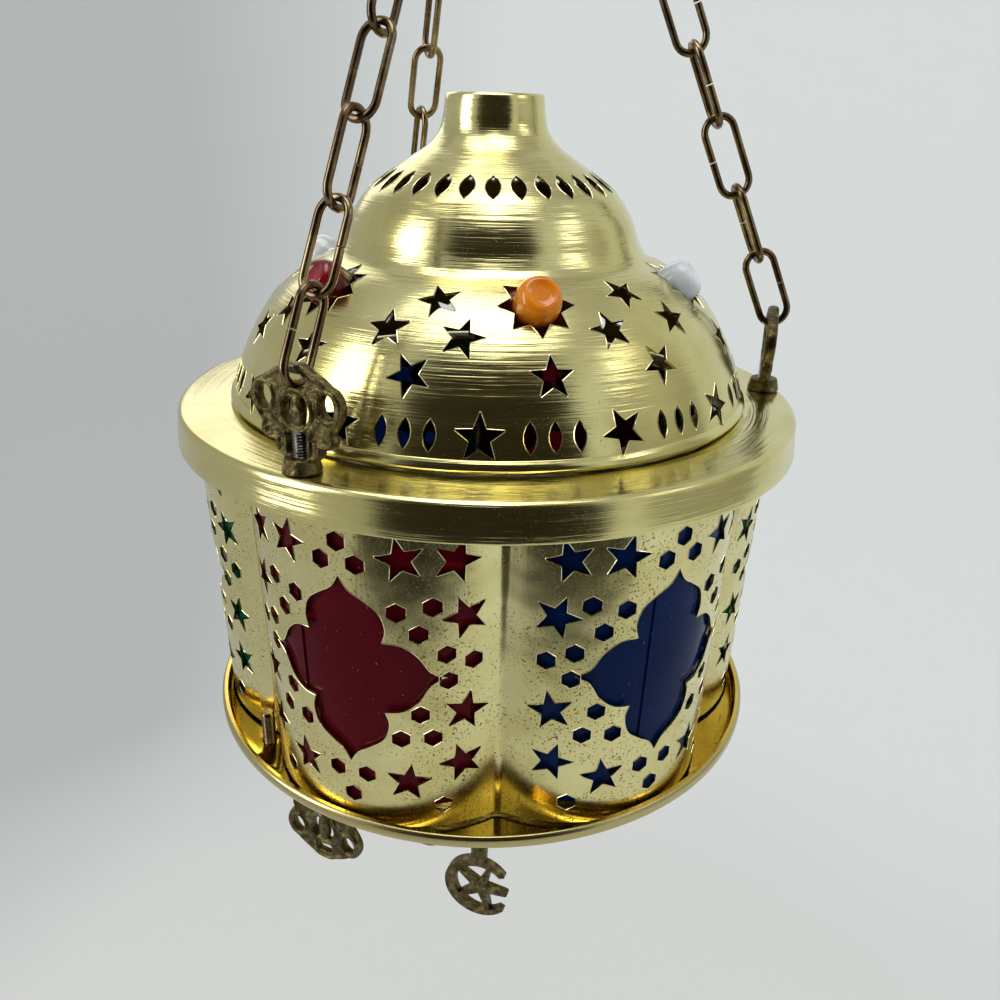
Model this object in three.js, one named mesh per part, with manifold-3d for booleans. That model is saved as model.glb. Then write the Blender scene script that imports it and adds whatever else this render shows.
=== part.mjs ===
// A pierced brass hanging lantern: an onion dome over a six lobed wall with coloured windows,
// a dish under it, a smaller upside down dome, and three chains gathered on a ring and a hook.
// Millimetres, +Z up. The origin is the point where the hook bears on what holds the lantern up.
import * as THREE from 'three';
import { mergeVertices } from 'three/addons/utils/BufferGeometryUtils.js';
import Module from 'manifold-3d';

const wasm = await Module();
wasm.setup();

// Driving dimensions. Heights named here are measured up from the brim's lower outer corner.
const GAP = 0.3;
const SHEET = 0.8;

// Hook, ring and chains
const HOOK_WIRE = 3.5;
const HOOK_UPPER_RADIUS = 10;
const HOOK_LOWER_RADIUS = 7;
const HOOK_SHANK = 5;
const RING_DIAMETER = 28;
const RING_WIRE = 3;
const RING_SPREAD = 21;
const LINK_LENGTH = 24;
const LINK_WIDTH = 10.3;
const LINK_WIRE = 2;
const LINK_SPLIT = 0.35;
const LINKS_PER_CHAIN = 10;
const STRAIGHT_LINKS = 5;
// Between a lug's bar and the link on it, measured along the chain
const SEAT_GAP = 0.55;

// Brim
const BRIM_RADIUS = 90;
const BRIM_TOP = 2;
const BRIM_CORNER = 1.8;
const SKIRT_DEPTH = 7.6;

// Lugs and drops, one casting used upright on the brim and upside down under the dish
const CAST_WIDTH = 25.7;
const CAST_HEIGHT = 25;
const CAST_THICKNESS = 4;
const CAST_BAR = 2.6;
const CAST_FOOT = 10.5;
const CAST_FOOT_HEIGHT = 2.8;
const CAST_SLOT = 3.8;
const LUG_INSET = 6;
const LUG_AZIMUTHS = [-30, 92.5, 202];
const DROP_INSET = 10;
const DROP_AZIMUTHS = [-36, 84, 204];
const DROP_TURN = 7;
const STUD = 4;
const STUD_CLEARANCE = 0.3;
const STUD_HEAD = 6.4;
const STUD_HEAD_HEIGHT = 2.8;

// Dome
// Dome's foot past the rods, so that their nuts stay under it
const DOME_PAST_RODS = 7.3;
const DOME_SHOULDER_RADIUS = 54;
const DOME_SHOULDER_HEIGHT = 36.5;
const DOME_WAIST_RADIUS = 43.5;
const DOME_WAIST_HEIGHT = 41.8;
const DOME_NECK_RADIUS = 13.2;
const DOME_HEIGHT = 82.5;
const DOME_STARS = 6;
const DOME_STAR_START = 11.5;
const BIG_STAR_HEIGHT = 36.8;
const BIG_STAR_RADIUS = 9.6;
const BEAD_STAR_ARMS = 8;
const BEAD_STAR_GAP = 0.35;
const SMALL_STAR_RADIUS = 5.4;
const SMALL_STAR_ARMS = 5;
// Width across a small star's inner corners over the width across its tips
const STAR_WAIST = 0.45;
// Small stars between two big ones: degrees past the big star, height, turn
const SMALL_STARS = [
  [0, 23.5, 0],
  [19, 31.5, 8],
  [26, 38, 20],
  [27, 23, 30],
  [38, 31.5, -14],
];
const LOW_STAR_RADIUS = 5.8;
const LOW_STAR_TURN = 24;
const LOW_STAR_HEIGHT = 10.5;
const LOW_STAR_COUNT = 13;
const LOW_STAR_START = -1.5;
const LENS_LENGTH = 7.8;
const LENS_WIDTH = 3.2;
const LENS_SPREAD = 4.7;
const VENT_COUNT = 30;
const VENT_HEIGHT = 61.5;
const VENT_LENGTH = 9;
const VENT_WIDTH = 4.2;

// Glass beads
const BEAD_DIAMETER = 11.6;
const BEAD_END_DIAMETER = 8.2;
const BEAD_STAND_OUT = 6.4;
const BEAD_SINK = 5;
const BEAD_ELEVATION = 37;
const BASE_BEAD_ELEVATION = -24;

// Wall and films
const LOBES = 6;
const JOINT_AZIMUTH = 3.5;
const WALL_INSET = 3.3;
const JOINT_DEPTH = 11.1;
const JOINT_FILLET = 12;
const WALL_TAPER = 0.959;
const WALL_BOTTOM = -96.1;
const WALL_SHEET = 0.8;
const PANEL_SHIFTS = [-0.5, 0, 0, 0, 0, 3];
const FACET_INNER_ANGLE = 5.4;
const FACET_OUTER_ANGLE = 16;
const WINDOW_HEIGHT = -48.8;
const WINDOW_TALL = 27.4;
const WINDOW_WIDE = 23.6;
const WINDOW_NOTCH = [9.8, 10.2];
// Stars on each side of a window: degrees from the window's middle, height, turn
const WALL_STARS = [
  [10.1, -15.9, 12],
  [18.9, -16.6, -18],
  [20.4, -32, 20],
  [20.5, -59.5, -12],
  [19.9, -75.6, 16],
  [10.4, -80.8, -8],
];
const WALL_STAR_RADIUS = 5.9;
const FILM = 0.3;
const FILM_TOP = -6;
const FILM_BOTTOM = -90;

// Dish
const DISH_SEAT_GAP = 0.65;
const DISH_TOP = -92.8;
const DISH_RIM_WIDTH = 2.2;
const DISH_RIM_HEIGHT = 3.7;
const DISH_LEDGE = -97.2;
const DISH_LEDGE_INSET = 4;
const DISH_FLOOR = -100;
const DISH_STEP = 1.4;

// Tie rods, which stand inside the wall's joints
const ROD_INSET = 8.4;
const ROD_LAND = 5.2;
const ROD_AZIMUTHS = [-56.5, 63.5, 183.5];
const NUT = 7;
const NUT_HEIGHT = 3.2;
const ROD_END = 1;

// Base dome and finial
const BASE_INSET = 0.8;
const BASE_WAIST_RADIUS = 37;
const BASE_WAIST_DEPTH = 30;
const BASE_NECK_RADIUS = 10;
const BASE_DEPTH = 63;
const BASE_STAR_START = -17;
const BASE_STAR_DEPTH = 20;
const STEM = 6.4;
const FINIAL_CENTRE = -198;
const CRESCENT_RADIUS = 13.6;
const CRESCENT_BORE = 10.6;
const CRESCENT_SHIFT = 1.2;
const CRESCENT_THICKNESS = 3.2;
// How far the star's arms run into the crescent
const FINIAL_STAR_BITE = 0.6;
const FINIAL_STAR_WAIST = 3.1;
const FINIAL_STAR_TURN = -18;
const CRESCENT_OPENING = 38;
const CRESCENT_STEPS = 14;
const COLLAR = 10.4;
const FINIAL_TURN = -20;

const BRASS = { color: 0xc9bd7c, roughness: 0.34, metalness: 1 };
const GOLD = { color: 0xc69a22, roughness: 0.18, metalness: 1 };
const CASTING = { color: 0x8a7c4e, roughness: 0.5, metalness: 1 };
const CHAIN = { color: 0x5e4c3a, roughness: 0.42, metalness: 1 };
const STEEL = { color: 0x6b6a66, roughness: 0.4, metalness: 1 };
const FILM_COLOURS = [0x0c1e5a, 0x005a30, 0x5e0f20, 0x0c1e5a, 0x005a30, 0x5e0f20];
const BEAD_COLOURS = [0xd87a10, 0xe8e8ea, 0x0f7a40, 0x1a3fae, 0xe8e8ea, 0xb0101c];

// What sits on, in or beside another piece takes its radius from it
const LUG_RADIUS = BRIM_RADIUS - LUG_INSET;
const WALL_RADIUS = BRIM_RADIUS - WALL_INSET;
const JOINT_RADIUS = WALL_RADIUS - JOINT_DEPTH;
const DISH_RADIUS = WALL_RADIUS * WALL_TAPER + DISH_SEAT_GAP + DISH_RIM_WIDTH;
const DROP_RADIUS = DISH_RADIUS - DROP_INSET;
const ROD_RADIUS = JOINT_RADIUS - ROD_INSET;
const DOME_BASE_RADIUS = ROD_RADIUS + DOME_PAST_RODS;
const BRIM_HOLE_RADIUS = ROD_RADIUS - ROD_LAND;
const DISH_LEDGE_RADIUS = ROD_RADIUS - DISH_LEDGE_INSET;
const DISH_FLOOR_RADIUS = DISH_LEDGE_RADIUS - DISH_STEP;
const BASE_RADIUS = DISH_FLOOR_RADIUS - BASE_INSET;

const BRIM_UNDER = BRIM_TOP - SHEET;
const DISH_UNDER = DISH_LEDGE - SHEET;
const WALL_TOP = BRIM_UNDER - GAP - STUD_HEAD_HEIGHT - GAP;
const BORE = STUD + 2 * STUD_CLEARANCE;
const rad = THREE.MathUtils.degToRad;

// How far a cutter reaches to each side of its middle, enough to pass the sheet and no more
const SMALL_CUT_REACH = 4;
const BEAD_STAR_REACH = 12;
const BASE_STAR_REACH = 6;
const WINDOW_REACH = 14;
const WALL_STAR_REACH = 3;
const BORE_REACH = 3;

// Sides of the round pieces
const DOME_SEGMENTS = 24;
const BRIM_SEGMENTS = 36;
const DISH_SEGMENTS = 30;
const BASE_SEGMENTS = 24;
const BEAD_SIDES = 8;
const BORE_SIDES = 8;
const STUD_SIDES = 6;
const STEM_SIDES = 10;
const LINK_SIDES = 4;
const HOOK_SIDES = 6;

const polar = (azimuth, radius, height) => new THREE.Vector3(
  radius * Math.sin(rad(azimuth)),
  -radius * Math.cos(rad(azimuth)),
  height,
);

// Booleans on closed geometries
const solid = (geometry) => {
  const bare = geometry.clone();
  bare.deleteAttribute('normal');
  bare.deleteAttribute('uv');
  const merged = mergeVertices(bare, 1e-4);
  return new wasm.Manifold(new wasm.Mesh({
    numProp: 3,
    vertProperties: new Float32Array(merged.attributes.position.array),
    triVerts: new Uint32Array(merged.index.array),
  }));
};

// Cutting leaves corners in the middle of flat faces and straight edges. Each is drawn onto a
// neighbour where no face turns or moves by more than a hair.
const FLATNESS = 0.002;
const withoutSpareCorners = (places, triangles) => {
  const point = [];
  for (let i = 0; i < places.length; i += 3) {
    point.push(new THREE.Vector3(places[i], places[i + 1], places[i + 2]));
  }
  const faces = [];
  const facesAt = point.map(() => new Set());
  for (let i = 0; i < triangles.length; i += 3) {
    const face = [triangles[i], triangles[i + 1], triangles[i + 2]];
    face.forEach((corner) => facesAt[corner].add(faces.length));
    faces.push(face);
  }
  const planeOf = (face) => {
    const [a, b, c] = face.map((corner) => point[corner]);
    const normal = b.clone().sub(a).cross(c.clone().sub(a));
    return { normal, area: normal.length(), origin: a };
  };
  const neighboursOf = (corner) => {
    const near = new Set();
    facesAt[corner].forEach((f) => faces[f].forEach((other) => near.add(other)));
    near.delete(corner);
    return near;
  };
  const canMove = (from, to) => {
    const near = neighboursOf(to);
    if ([...neighboursOf(from)].filter((corner) => near.has(corner)).length !== 2) {
      return false;
    }
    return [...facesAt[from]].every((f) => {
      if (faces[f].includes(to)) {
        return true;
      }
      const before = planeOf(faces[f]);
      const after = planeOf(faces[f].map((corner) => (corner === from ? to : corner)));
      if (after.area < 0.004) {
        return false;
      }
      after.normal.divideScalar(after.area);
      const lift = Math.abs(after.normal.dot(point[from].clone().sub(after.origin)));
      return before.normal.dot(after.normal) > 0.9 * before.area && lift < FLATNESS;
    });
  };
  for (let from = 0; from < point.length; from += 1) {
    const to = [...neighboursOf(from)].find((corner) => canMove(from, corner));
    if (to !== undefined) {
      [...facesAt[from]].forEach((f) => {
        if (faces[f].includes(to)) {
          faces[f].forEach((corner) => facesAt[corner].delete(f));
          faces[f] = null;
        } else {
          faces[f] = faces[f].map((corner) => (corner === from ? to : corner));
          facesAt[to].add(f);
        }
      });
      facesAt[from].clear();
    }
  }
  return { point, faces: faces.filter((face) => face !== null) };
};

const shapeOf = (manifold) => {
  const mesh = manifold.getMesh();
  const { point, faces } = withoutSpareCorners(mesh.vertProperties, mesh.triVerts);
  const soup = faces.flatMap((face) => face.map((corner) => point[corner]));
  const geometry = mergeVertices(new THREE.BufferGeometry().setFromPoints(soup), 1e-5);
  geometry.computeVertexNormals();
  return geometry;
};

const cut = (geometry, cutters) => {
  let body = solid(geometry);
  for (const tool of cutters) {
    body = body.subtract(solid(tool));
  }
  return shapeOf(body);
};

const join = (parts) => {
  let body = solid(parts[0]);
  for (const part of parts.slice(1)) {
    body = body.add(solid(part));
  }
  return shapeOf(body);
};

// Turned shape about Z. The profile lists radius and height and runs round the section.
const turned = (profile, segments) => {
  const points = profile.map(([radius, height]) => new THREE.Vector2(radius, height));
  const geometry = new THREE.LatheGeometry(points, segments);
  geometry.rotateX(Math.PI / 2);
  return outward(geometry);
};

// A closed surface whose volume came out negative is turned inside out
const outward = (geometry) => {
  const bare = geometry.clone();
  bare.deleteAttribute('normal');
  bare.deleteAttribute('uv');
  const merged = mergeVertices(bare, 1e-4);
  const place = merged.attributes.position;
  const index = Array.from(merged.index.array);
  const corners = [new THREE.Vector3(), new THREE.Vector3(), new THREE.Vector3()];
  const kept = [];
  let volume = 0;
  for (let i = 0; i < index.length; i += 3) {
    const [a, b, c] = index.slice(i, i + 3);
    if (a !== b && b !== c && c !== a) {
      kept.push(a, b, c);
      corners.forEach((corner, k) => corner.fromBufferAttribute(place, index[i + k]));
      volume += corners[0].dot(corners[1].clone().cross(corners[2]));
    }
  }
  merged.setIndex(volume < 0 ? kept.reverse() : kept);
  merged.computeVertexNormals();
  return merged;
};

// A curve that steps through given stations, so that a tube has its rings exactly there
class Stations extends THREE.Curve {
  constructor(points, tangents) {
    super();
    this.points = points;
    this.tangents = tangents;
  }

  getPointAt(u, target = new THREE.Vector3()) {
    return target.copy(this.points[Math.round(u * (this.points.length - 1))]);
  }

  getPoint(t, target) {
    return this.getPointAt(t, target);
  }

  getTangentAt(u, target = new THREE.Vector3()) {
    return target.copy(this.tangents[Math.round(u * (this.points.length - 1))]);
  }
}

const roundSection = (diameter, sides) => {
  const section = new THREE.Shape();
  for (let i = 0; i < sides; i += 1) {
    const turn = (2 * Math.PI * i) / sides;
    const x = (diameter / 2) * Math.cos(turn);
    const y = (diameter / 2) * Math.sin(turn);
    if (i === 0) {
      section.moveTo(x, y);
    } else {
      section.lineTo(x, y);
    }
  }
  section.closePath();
  return section;
};

const tube = (points, tangents, diameter, sides) => outward(new THREE.ExtrudeGeometry(
  roundSection(diameter, sides),
  { steps: points.length - 1, extrudePath: new Stations(points, tangents) },
));

const outline = (points) => new THREE.Shape(points.map(([x, y]) => new THREE.Vector2(x, y)));

// Outlines of the pierced pattern, centred on the origin
const starOutline = (arms, outer, inner, turn = 0) => {
  const points = [];
  for (let i = 0; i < 2 * arms; i += 1) {
    const radius = i % 2 === 0 ? outer : inner;
    const angle = Math.PI / 2 + rad(turn) + (Math.PI * i) / arms;
    points.push([radius * Math.cos(angle), radius * Math.sin(angle)]);
  }
  return points;
};

const beadStar = () => (
  starOutline(BEAD_STAR_ARMS, BIG_STAR_RADIUS, BEAD_DIAMETER / 2 + BEAD_STAR_GAP)
);

const smallStar = (radius, turn) => (
  starOutline(SMALL_STAR_ARMS, radius, STAR_WAIST * radius, turn)
);

const lensOutline = (length, width) => {
  const points = [];
  const steps = 3;
  for (const side of [1, -1]) {
    for (let i = 0; i < steps; i += 1) {
      const along = side * (1 - (2 * i) / steps) * (length / 2);
      const across = side * (width / 2) * (1 - (2 * along / length) ** 2);
      points.push([across, along]);
    }
  }
  return points;
};

// Four leaves round a middle, each with a pointed tip, and a notch between neighbours
const windowOutline = () => {
  const upper = [
    [WINDOW_NOTCH[0], WINDOW_NOTCH[1]],
    [WINDOW_NOTCH[0] + 1, WINDOW_NOTCH[1] + 4],
    [WINDOW_NOTCH[0] - 0.8, WINDOW_NOTCH[1] + 8.6],
    [WINDOW_NOTCH[0] - 4.6, WINDOW_TALL - 5.4],
    [WINDOW_NOTCH[0] - 7.8, WINDOW_TALL - 3.4],
    [0, WINDOW_TALL],
  ];
  const side = [
    [WINDOW_WIDE, 0],
    [WINDOW_WIDE - 3, 2.2],
    [WINDOW_WIDE - 5.6, WINDOW_NOTCH[1] - 3.2],
    [WINDOW_WIDE - 9.4, WINDOW_NOTCH[1] - 0.4],
  ];
  const quarter = [...side, ...upper];
  const mirrored = quarter.slice(1, -1).reverse().map(([x, y]) => [-x, y]);
  const top = [...quarter, ...mirrored, [-WINDOW_WIDE, 0]];
  const bottom = top.slice(1, -1).reverse().map(([x, y]) => [x, -y]);
  return [...top, ...bottom];
};

// Turns a shape so that its Z looks along an axis and its Y stays as upright as it can
const facing = (centre, axis) => {
  const out = axis.clone().normalize();
  const across = new THREE.Vector3(0, 0, 1).cross(out).normalize();
  const up = out.clone().cross(across);
  return new THREE.Matrix4().makeBasis(across, up, out).setPosition(centre);
};

const cutter = (points, centre, axis, depth) => {
  const geometry = new THREE.ExtrudeGeometry(outline(points), {
    depth: 2 * depth,
    bevelEnabled: false,
  });
  geometry.translate(0, 0, -depth);
  geometry.applyMatrix4(facing(centre, axis));
  return outward(geometry);
};

// Upright cutter for a stud's bore
const bore = (azimuth, radius, height) => {
  const centre = polar(azimuth, radius, height);
  const geometry = new THREE.CylinderGeometry(BORE / 2, BORE / 2, 2 * BORE_REACH, BORE_SIDES);
  geometry.rotateX(Math.PI / 2);
  geometry.translate(centre.x, centre.y, centre.z);
  return geometry;
};

// Point and outward normal of a turned profile at a height
const onProfile = (profile, height) => {
  for (let i = 0; i + 1 < profile.length; i += 1) {
    const [r0, z0] = profile[i];
    const [r1, z1] = profile[i + 1];
    if ((height - z0) * (height - z1) <= 0 && z0 !== z1) {
      const share = (height - z0) / (z1 - z0);
      const length = Math.hypot(r1 - r0, z1 - z0);
      const side = z1 > z0 ? 1 : -1;
      return {
        radius: r0 + share * (r1 - r0),
        normal: [side * (z1 - z0) / length, -side * (r1 - r0) / length],
      };
    }
  }
  throw new Error(`no point of the profile at height ${height}`);
};

// Unit vector that looks out at an azimuth and up by an elevation, in degrees
const slope = (azimuth, elevation) => (
  polar(azimuth, Math.cos(rad(elevation)), Math.sin(rad(elevation)))
);

const pierce = (profile, azimuth, height, points) => {
  const place = onProfile(profile, height);
  const centre = polar(azimuth, place.radius, height);
  return cutter(points, centre, polar(azimuth, ...place.normal), SMALL_CUT_REACH);
};

// Sheet turned to a profile, its thickness laid inside
const offsetInside = (profile, thickness) => profile.map((point, i) => {
  const before = profile[Math.max(i - 1, 0)];
  const after = profile[Math.min(i + 1, profile.length - 1)];
  const along = [after[0] - before[0], after[1] - before[1]];
  const length = Math.hypot(...along);
  const side = along[1] > 0 ? 1 : -1;
  return [
    point[0] - (side * thickness * along[1]) / length,
    point[1] + (side * thickness * along[0]) / length,
  ];
});

const DOME_FOOT = BRIM_TOP + GAP;
const domeProfile = () => {
  const flank = DOME_BASE_RADIUS - DOME_SHOULDER_RADIUS;
  const climb = DOME_SHOULDER_HEIGHT - DOME_FOOT;
  const cap = DOME_WAIST_RADIUS - DOME_NECK_RADIUS;
  const rise = DOME_HEIGHT - DOME_WAIST_HEIGHT;
  return [
    [DOME_BASE_RADIUS - 1.3, DOME_FOOT],
    [DOME_BASE_RADIUS, DOME_FOOT + 2],
    [DOME_BASE_RADIUS - 1.5, DOME_FOOT + 5.5],
    [DOME_BASE_RADIUS - flank * 0.31, DOME_FOOT + climb * 0.517],
    [DOME_BASE_RADIUS - flank * 0.59, DOME_FOOT + climb * 0.781],
    [DOME_SHOULDER_RADIUS, DOME_SHOULDER_HEIGHT],
    [DOME_WAIST_RADIUS + 1.3, DOME_WAIST_HEIGHT - 0.6],
    [DOME_WAIST_RADIUS - 0.3, DOME_WAIST_HEIGHT + 0.6],
    [DOME_WAIST_RADIUS - 3, DOME_WAIST_HEIGHT + 5.2],
    [DOME_WAIST_RADIUS - cap * 0.2, DOME_WAIST_HEIGHT + rise * 0.29],
    [DOME_WAIST_RADIUS - cap * 0.41, DOME_WAIST_HEIGHT + rise * 0.46],
    [DOME_NECK_RADIUS + cap * 0.33, DOME_WAIST_HEIGHT + rise * 0.6],
    [DOME_NECK_RADIUS + cap * 0.13, DOME_WAIST_HEIGHT + rise * 0.7],
    [DOME_NECK_RADIUS + cap * 0.04, DOME_WAIST_HEIGHT + rise * 0.82],
    [DOME_NECK_RADIUS, DOME_HEIGHT],
  ];
};

const DOME_PROFILE = domeProfile();

// Shell between an outside profile and its inside
const shell = (profile, segments) => {
  const inside = offsetInside(profile, SHEET).reverse();
  inside[0][1] = profile[profile.length - 1][1];
  inside[inside.length - 1][1] = profile[0][1];
  return turned([...profile, ...inside, profile[0]], segments);
};

const makeDome = () => {
  const cutters = [];
  const pitch = 360 / DOME_STARS;
  for (let i = 0; i < DOME_STARS; i += 1) {
    const azimuth = DOME_STAR_START + i * pitch;
    const place = onProfile(DOME_PROFILE, BIG_STAR_HEIGHT);
    cutters.push(cutter(
      beadStar(),
      polar(azimuth, place.radius, BIG_STAR_HEIGHT),
      slope(azimuth, BEAD_ELEVATION),
      BEAD_STAR_REACH,
    ));
    for (const [offset, height, turn] of SMALL_STARS) {
      cutters.push(pierce(
        DOME_PROFILE,
        azimuth + offset,
        height,
        smallStar(SMALL_STAR_RADIUS, turn),
      ));
    }
  }
  for (let i = 0; i < LOW_STAR_COUNT; i += 1) {
    const azimuth = LOW_STAR_START + (360 * i) / LOW_STAR_COUNT;
    cutters.push(pierce(
      DOME_PROFILE,
      azimuth,
      LOW_STAR_HEIGHT,
      smallStar(LOW_STAR_RADIUS, LOW_STAR_TURN * i),
    ));
    for (const side of [-1, 0, 1]) {
      cutters.push(pierce(
        DOME_PROFILE,
        azimuth + 180 / LOW_STAR_COUNT + side * LENS_SPREAD,
        LOW_STAR_HEIGHT,
        lensOutline(LENS_LENGTH, LENS_WIDTH),
      ));
    }
  }
  for (let i = 0; i < VENT_COUNT; i += 1) {
    cutters.push(pierce(
      DOME_PROFILE,
      (360 * i) / VENT_COUNT,
      VENT_HEIGHT,
      lensOutline(VENT_LENGTH, VENT_WIDTH),
    ));
  }
  return cut(shell(DOME_PROFILE, DOME_SEGMENTS), cutters);
};

// Bead along Z, its edges at the inner corners of the star that holds it
const makeBead = () => {
  const radius = BEAD_DIAMETER / 2;
  const end = BEAD_END_DIAMETER / 2;
  const bead = turned([
    [0, -BEAD_SINK],
    [end, -BEAD_SINK],
    [radius, -BEAD_SINK + 2],
    [radius, BEAD_STAND_OUT - 2.2],
    [radius - 0.7, BEAD_STAND_OUT - 0.8],
    [end, BEAD_STAND_OUT],
    [0, BEAD_STAND_OUT],
  ], BEAD_SIDES);
  bead.rotateZ(Math.PI / BEAD_SIDES);
  return bead;
};

const makeBrim = () => {
  const top = BRIM_TOP;
  const plate = turned([
    [BRIM_HOLE_RADIUS, top],
    [BRIM_RADIUS - BRIM_CORNER, top],
    [BRIM_RADIUS - 0.5, top - 0.6],
    [BRIM_RADIUS, 0],
    [BRIM_RADIUS, -SKIRT_DEPTH],
    [BRIM_RADIUS - SHEET, -SKIRT_DEPTH],
    [BRIM_RADIUS - SHEET, top - BRIM_CORNER - 0.2],
    [BRIM_RADIUS - BRIM_CORNER - 0.4, BRIM_UNDER],
    [BRIM_HOLE_RADIUS, BRIM_UNDER],
    [BRIM_HOLE_RADIUS, top],
  ], BRIM_SEGMENTS);
  return cut(plate, [
    ...LUG_AZIMUTHS.map((azimuth) => bore(azimuth, LUG_RADIUS, top)),
    ...ROD_AZIMUTHS.map((azimuth) => bore(azimuth, ROD_RADIUS, top)),
  ]);
};

// The lobed outline, sunk inside by a distance: lobe arcs joined by a fillet at each joint
const lobeCircle = () => {
  const away = JOINT_RADIUS + JOINT_FILLET;
  const turn = Math.cos(Math.PI / LOBES);
  const top = away ** 2 + WALL_RADIUS ** 2 - 2 * away * WALL_RADIUS * turn - JOINT_FILLET ** 2;
  const radius = top / (2 * (JOINT_FILLET + WALL_RADIUS - away * turn));
  const centre = WALL_RADIUS - radius;
  const fillet = new THREE.Vector2(away * Math.sin(Math.PI / LOBES), away * turn);
  const span = Math.atan2(fillet.x, fillet.y - centre);
  return { radius, centre, span };
};

const LOBE = lobeCircle();

const lobePoint = (lobe, angle, inside) => {
  const azimuth = JOINT_AZIMUTH + (lobe + 0.5) * (360 / LOBES);
  const middle = polar(azimuth, LOBE.centre, 0);
  const out = polar(azimuth + THREE.MathUtils.radToDeg(angle), LOBE.radius - inside, 0);
  return middle.add(out);
};

// Angle about a lobe's own centre of the point seen from the lantern's axis at a given angle
const angleOnLobe = (seen) => {
  const sway = LOBE.centre * Math.sin(rad(seen));
  return rad(seen) + Math.asin(sway / LOBE.radius);
};

// Facet edges run between the columns of the pattern
const lobeAngles = (lobe) => {
  const shift = PANEL_SHIFTS[lobe];
  return [
    -LOBE.span,
    angleOnLobe(shift - FACET_OUTER_ANGLE),
    angleOnLobe(shift - FACET_INNER_ANGLE),
    angleOnLobe(shift + FACET_INNER_ANGLE),
    angleOnLobe(shift + FACET_OUTER_ANGLE),
    LOBE.span,
  ];
};

const lobedOutline = (inside) => {
  const points = [];
  for (let lobe = 0; lobe < LOBES; lobe += 1) {
    for (const angle of lobeAngles(lobe)) {
      points.push(lobePoint(lobe, angle, inside));
    }
    const joint = JOINT_AZIMUTH + (lobe + 1) * (360 / LOBES);
    points.push(polar(joint, JOINT_RADIUS - inside, 0));
  }
  return points;
};

// Draws a lobed prism in by the wall's taper towards its foot
const taper = (geometry) => {
  const place = geometry.attributes.position;
  for (let i = 0; i < place.count; i += 1) {
    const share = place.getZ(i) / WALL_BOTTOM;
    const scale = 1 + (WALL_TAPER - 1) * share;
    place.setXY(i, place.getX(i) * scale, place.getY(i) * scale);
  }
  return outward(geometry);
};

const upright = (shape, low, high) => {
  const geometry = new THREE.ExtrudeGeometry(shape, { depth: high - low, bevelEnabled: false });
  geometry.translate(0, 0, low);
  return geometry;
};

const flat = (points) => points.map((point) => new THREE.Vector2(point.x, point.y));

const wallCutters = () => {
  const cutters = [];
  for (let lobe = 0; lobe < LOBES; lobe += 1) {
    const azimuth = JOINT_AZIMUTH + (lobe + 0.5) * (360 / LOBES) + PANEL_SHIFTS[lobe];
    cutters.push(cutter(
      windowOutline(),
      polar(azimuth, WALL_RADIUS - WINDOW_REACH / 2, WINDOW_HEIGHT),
      slope(azimuth, 0),
      WINDOW_REACH,
    ));
    for (const side of [-1, 1]) {
      for (const [offset, height, turn] of WALL_STARS) {
        const seen = side * offset + PANEL_SHIFTS[lobe];
        const lean = angleOnLobe(seen);
        const reach = LOBE.radius * Math.sin(lean) / Math.sin(rad(seen));
        const scale = 1 + (WALL_TAPER - 1) * (height / WALL_BOTTOM);
        cutters.push(cutter(
          smallStar(WALL_STAR_RADIUS, side * turn),
          polar(azimuth + side * offset, reach * scale, height),
          slope(azimuth - PANEL_SHIFTS[lobe] + THREE.MathUtils.radToDeg(lean), 0),
          WALL_STAR_REACH,
        ));
      }
    }
  }
  return cutters;
};

const makeWall = () => {
  const shape = new THREE.Shape(flat(lobedOutline(0)));
  shape.holes.push(new THREE.Path(flat(lobedOutline(WALL_SHEET))));
  return cut(taper(upright(shape, WALL_BOTTOM, WALL_TOP)), wallCutters());
};

const makeFilm = (lobe) => {
  const outside = [];
  const inside = [];
  for (const angle of lobeAngles(lobe)) {
    outside.push(lobePoint(lobe, angle, WALL_SHEET + GAP));
    inside.push(lobePoint(lobe, angle, WALL_SHEET + GAP + FILM));
  }
  const shape = new THREE.Shape(flat([...outside, ...inside.reverse()]));
  return taper(upright(shape, FILM_BOTTOM, FILM_TOP));
};

const makeDish = () => {
  const inner = DISH_RADIUS - DISH_RIM_WIDTH;
  const low = DISH_TOP - DISH_RIM_HEIGHT;
  const bowl = turned([
    [0, DISH_FLOOR],
    [DISH_FLOOR_RADIUS, DISH_FLOOR],
    [DISH_LEDGE_RADIUS, DISH_LEDGE],
    [inner - 2.5, DISH_LEDGE],
    [inner, low + 0.3],
    [inner, DISH_TOP - 0.7],
    [inner + 0.5, DISH_TOP],
    [DISH_RADIUS - 0.6, DISH_TOP],
    [DISH_RADIUS, DISH_TOP - 0.7],
    [DISH_RADIUS, low + 0.6],
    [DISH_RADIUS - 0.6, low],
    [inner - 1.6, DISH_UNDER],
    [DISH_LEDGE_RADIUS + 0.6, DISH_UNDER],
    [DISH_FLOOR_RADIUS + 0.6, DISH_FLOOR - SHEET],
    [0, DISH_FLOOR - SHEET],
  ], DISH_SEGMENTS);
  return cut(bowl, [
    ...DROP_AZIMUTHS.map((azimuth) => bore(azimuth, DROP_RADIUS, DISH_LEDGE)),
    ...ROD_AZIMUTHS.map((azimuth) => bore(azimuth, ROD_RADIUS, DISH_LEDGE)),
  ]);
};

// Cylinder standing on Z between two heights
const post = (diameter, low, high, sides) => {
  const geometry = new THREE.CylinderGeometry(diameter / 2, diameter / 2, high - low, sides);
  geometry.rotateX(Math.PI / 2);
  geometry.translate(0, 0, (low + high) / 2);
  return geometry;
};

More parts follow.
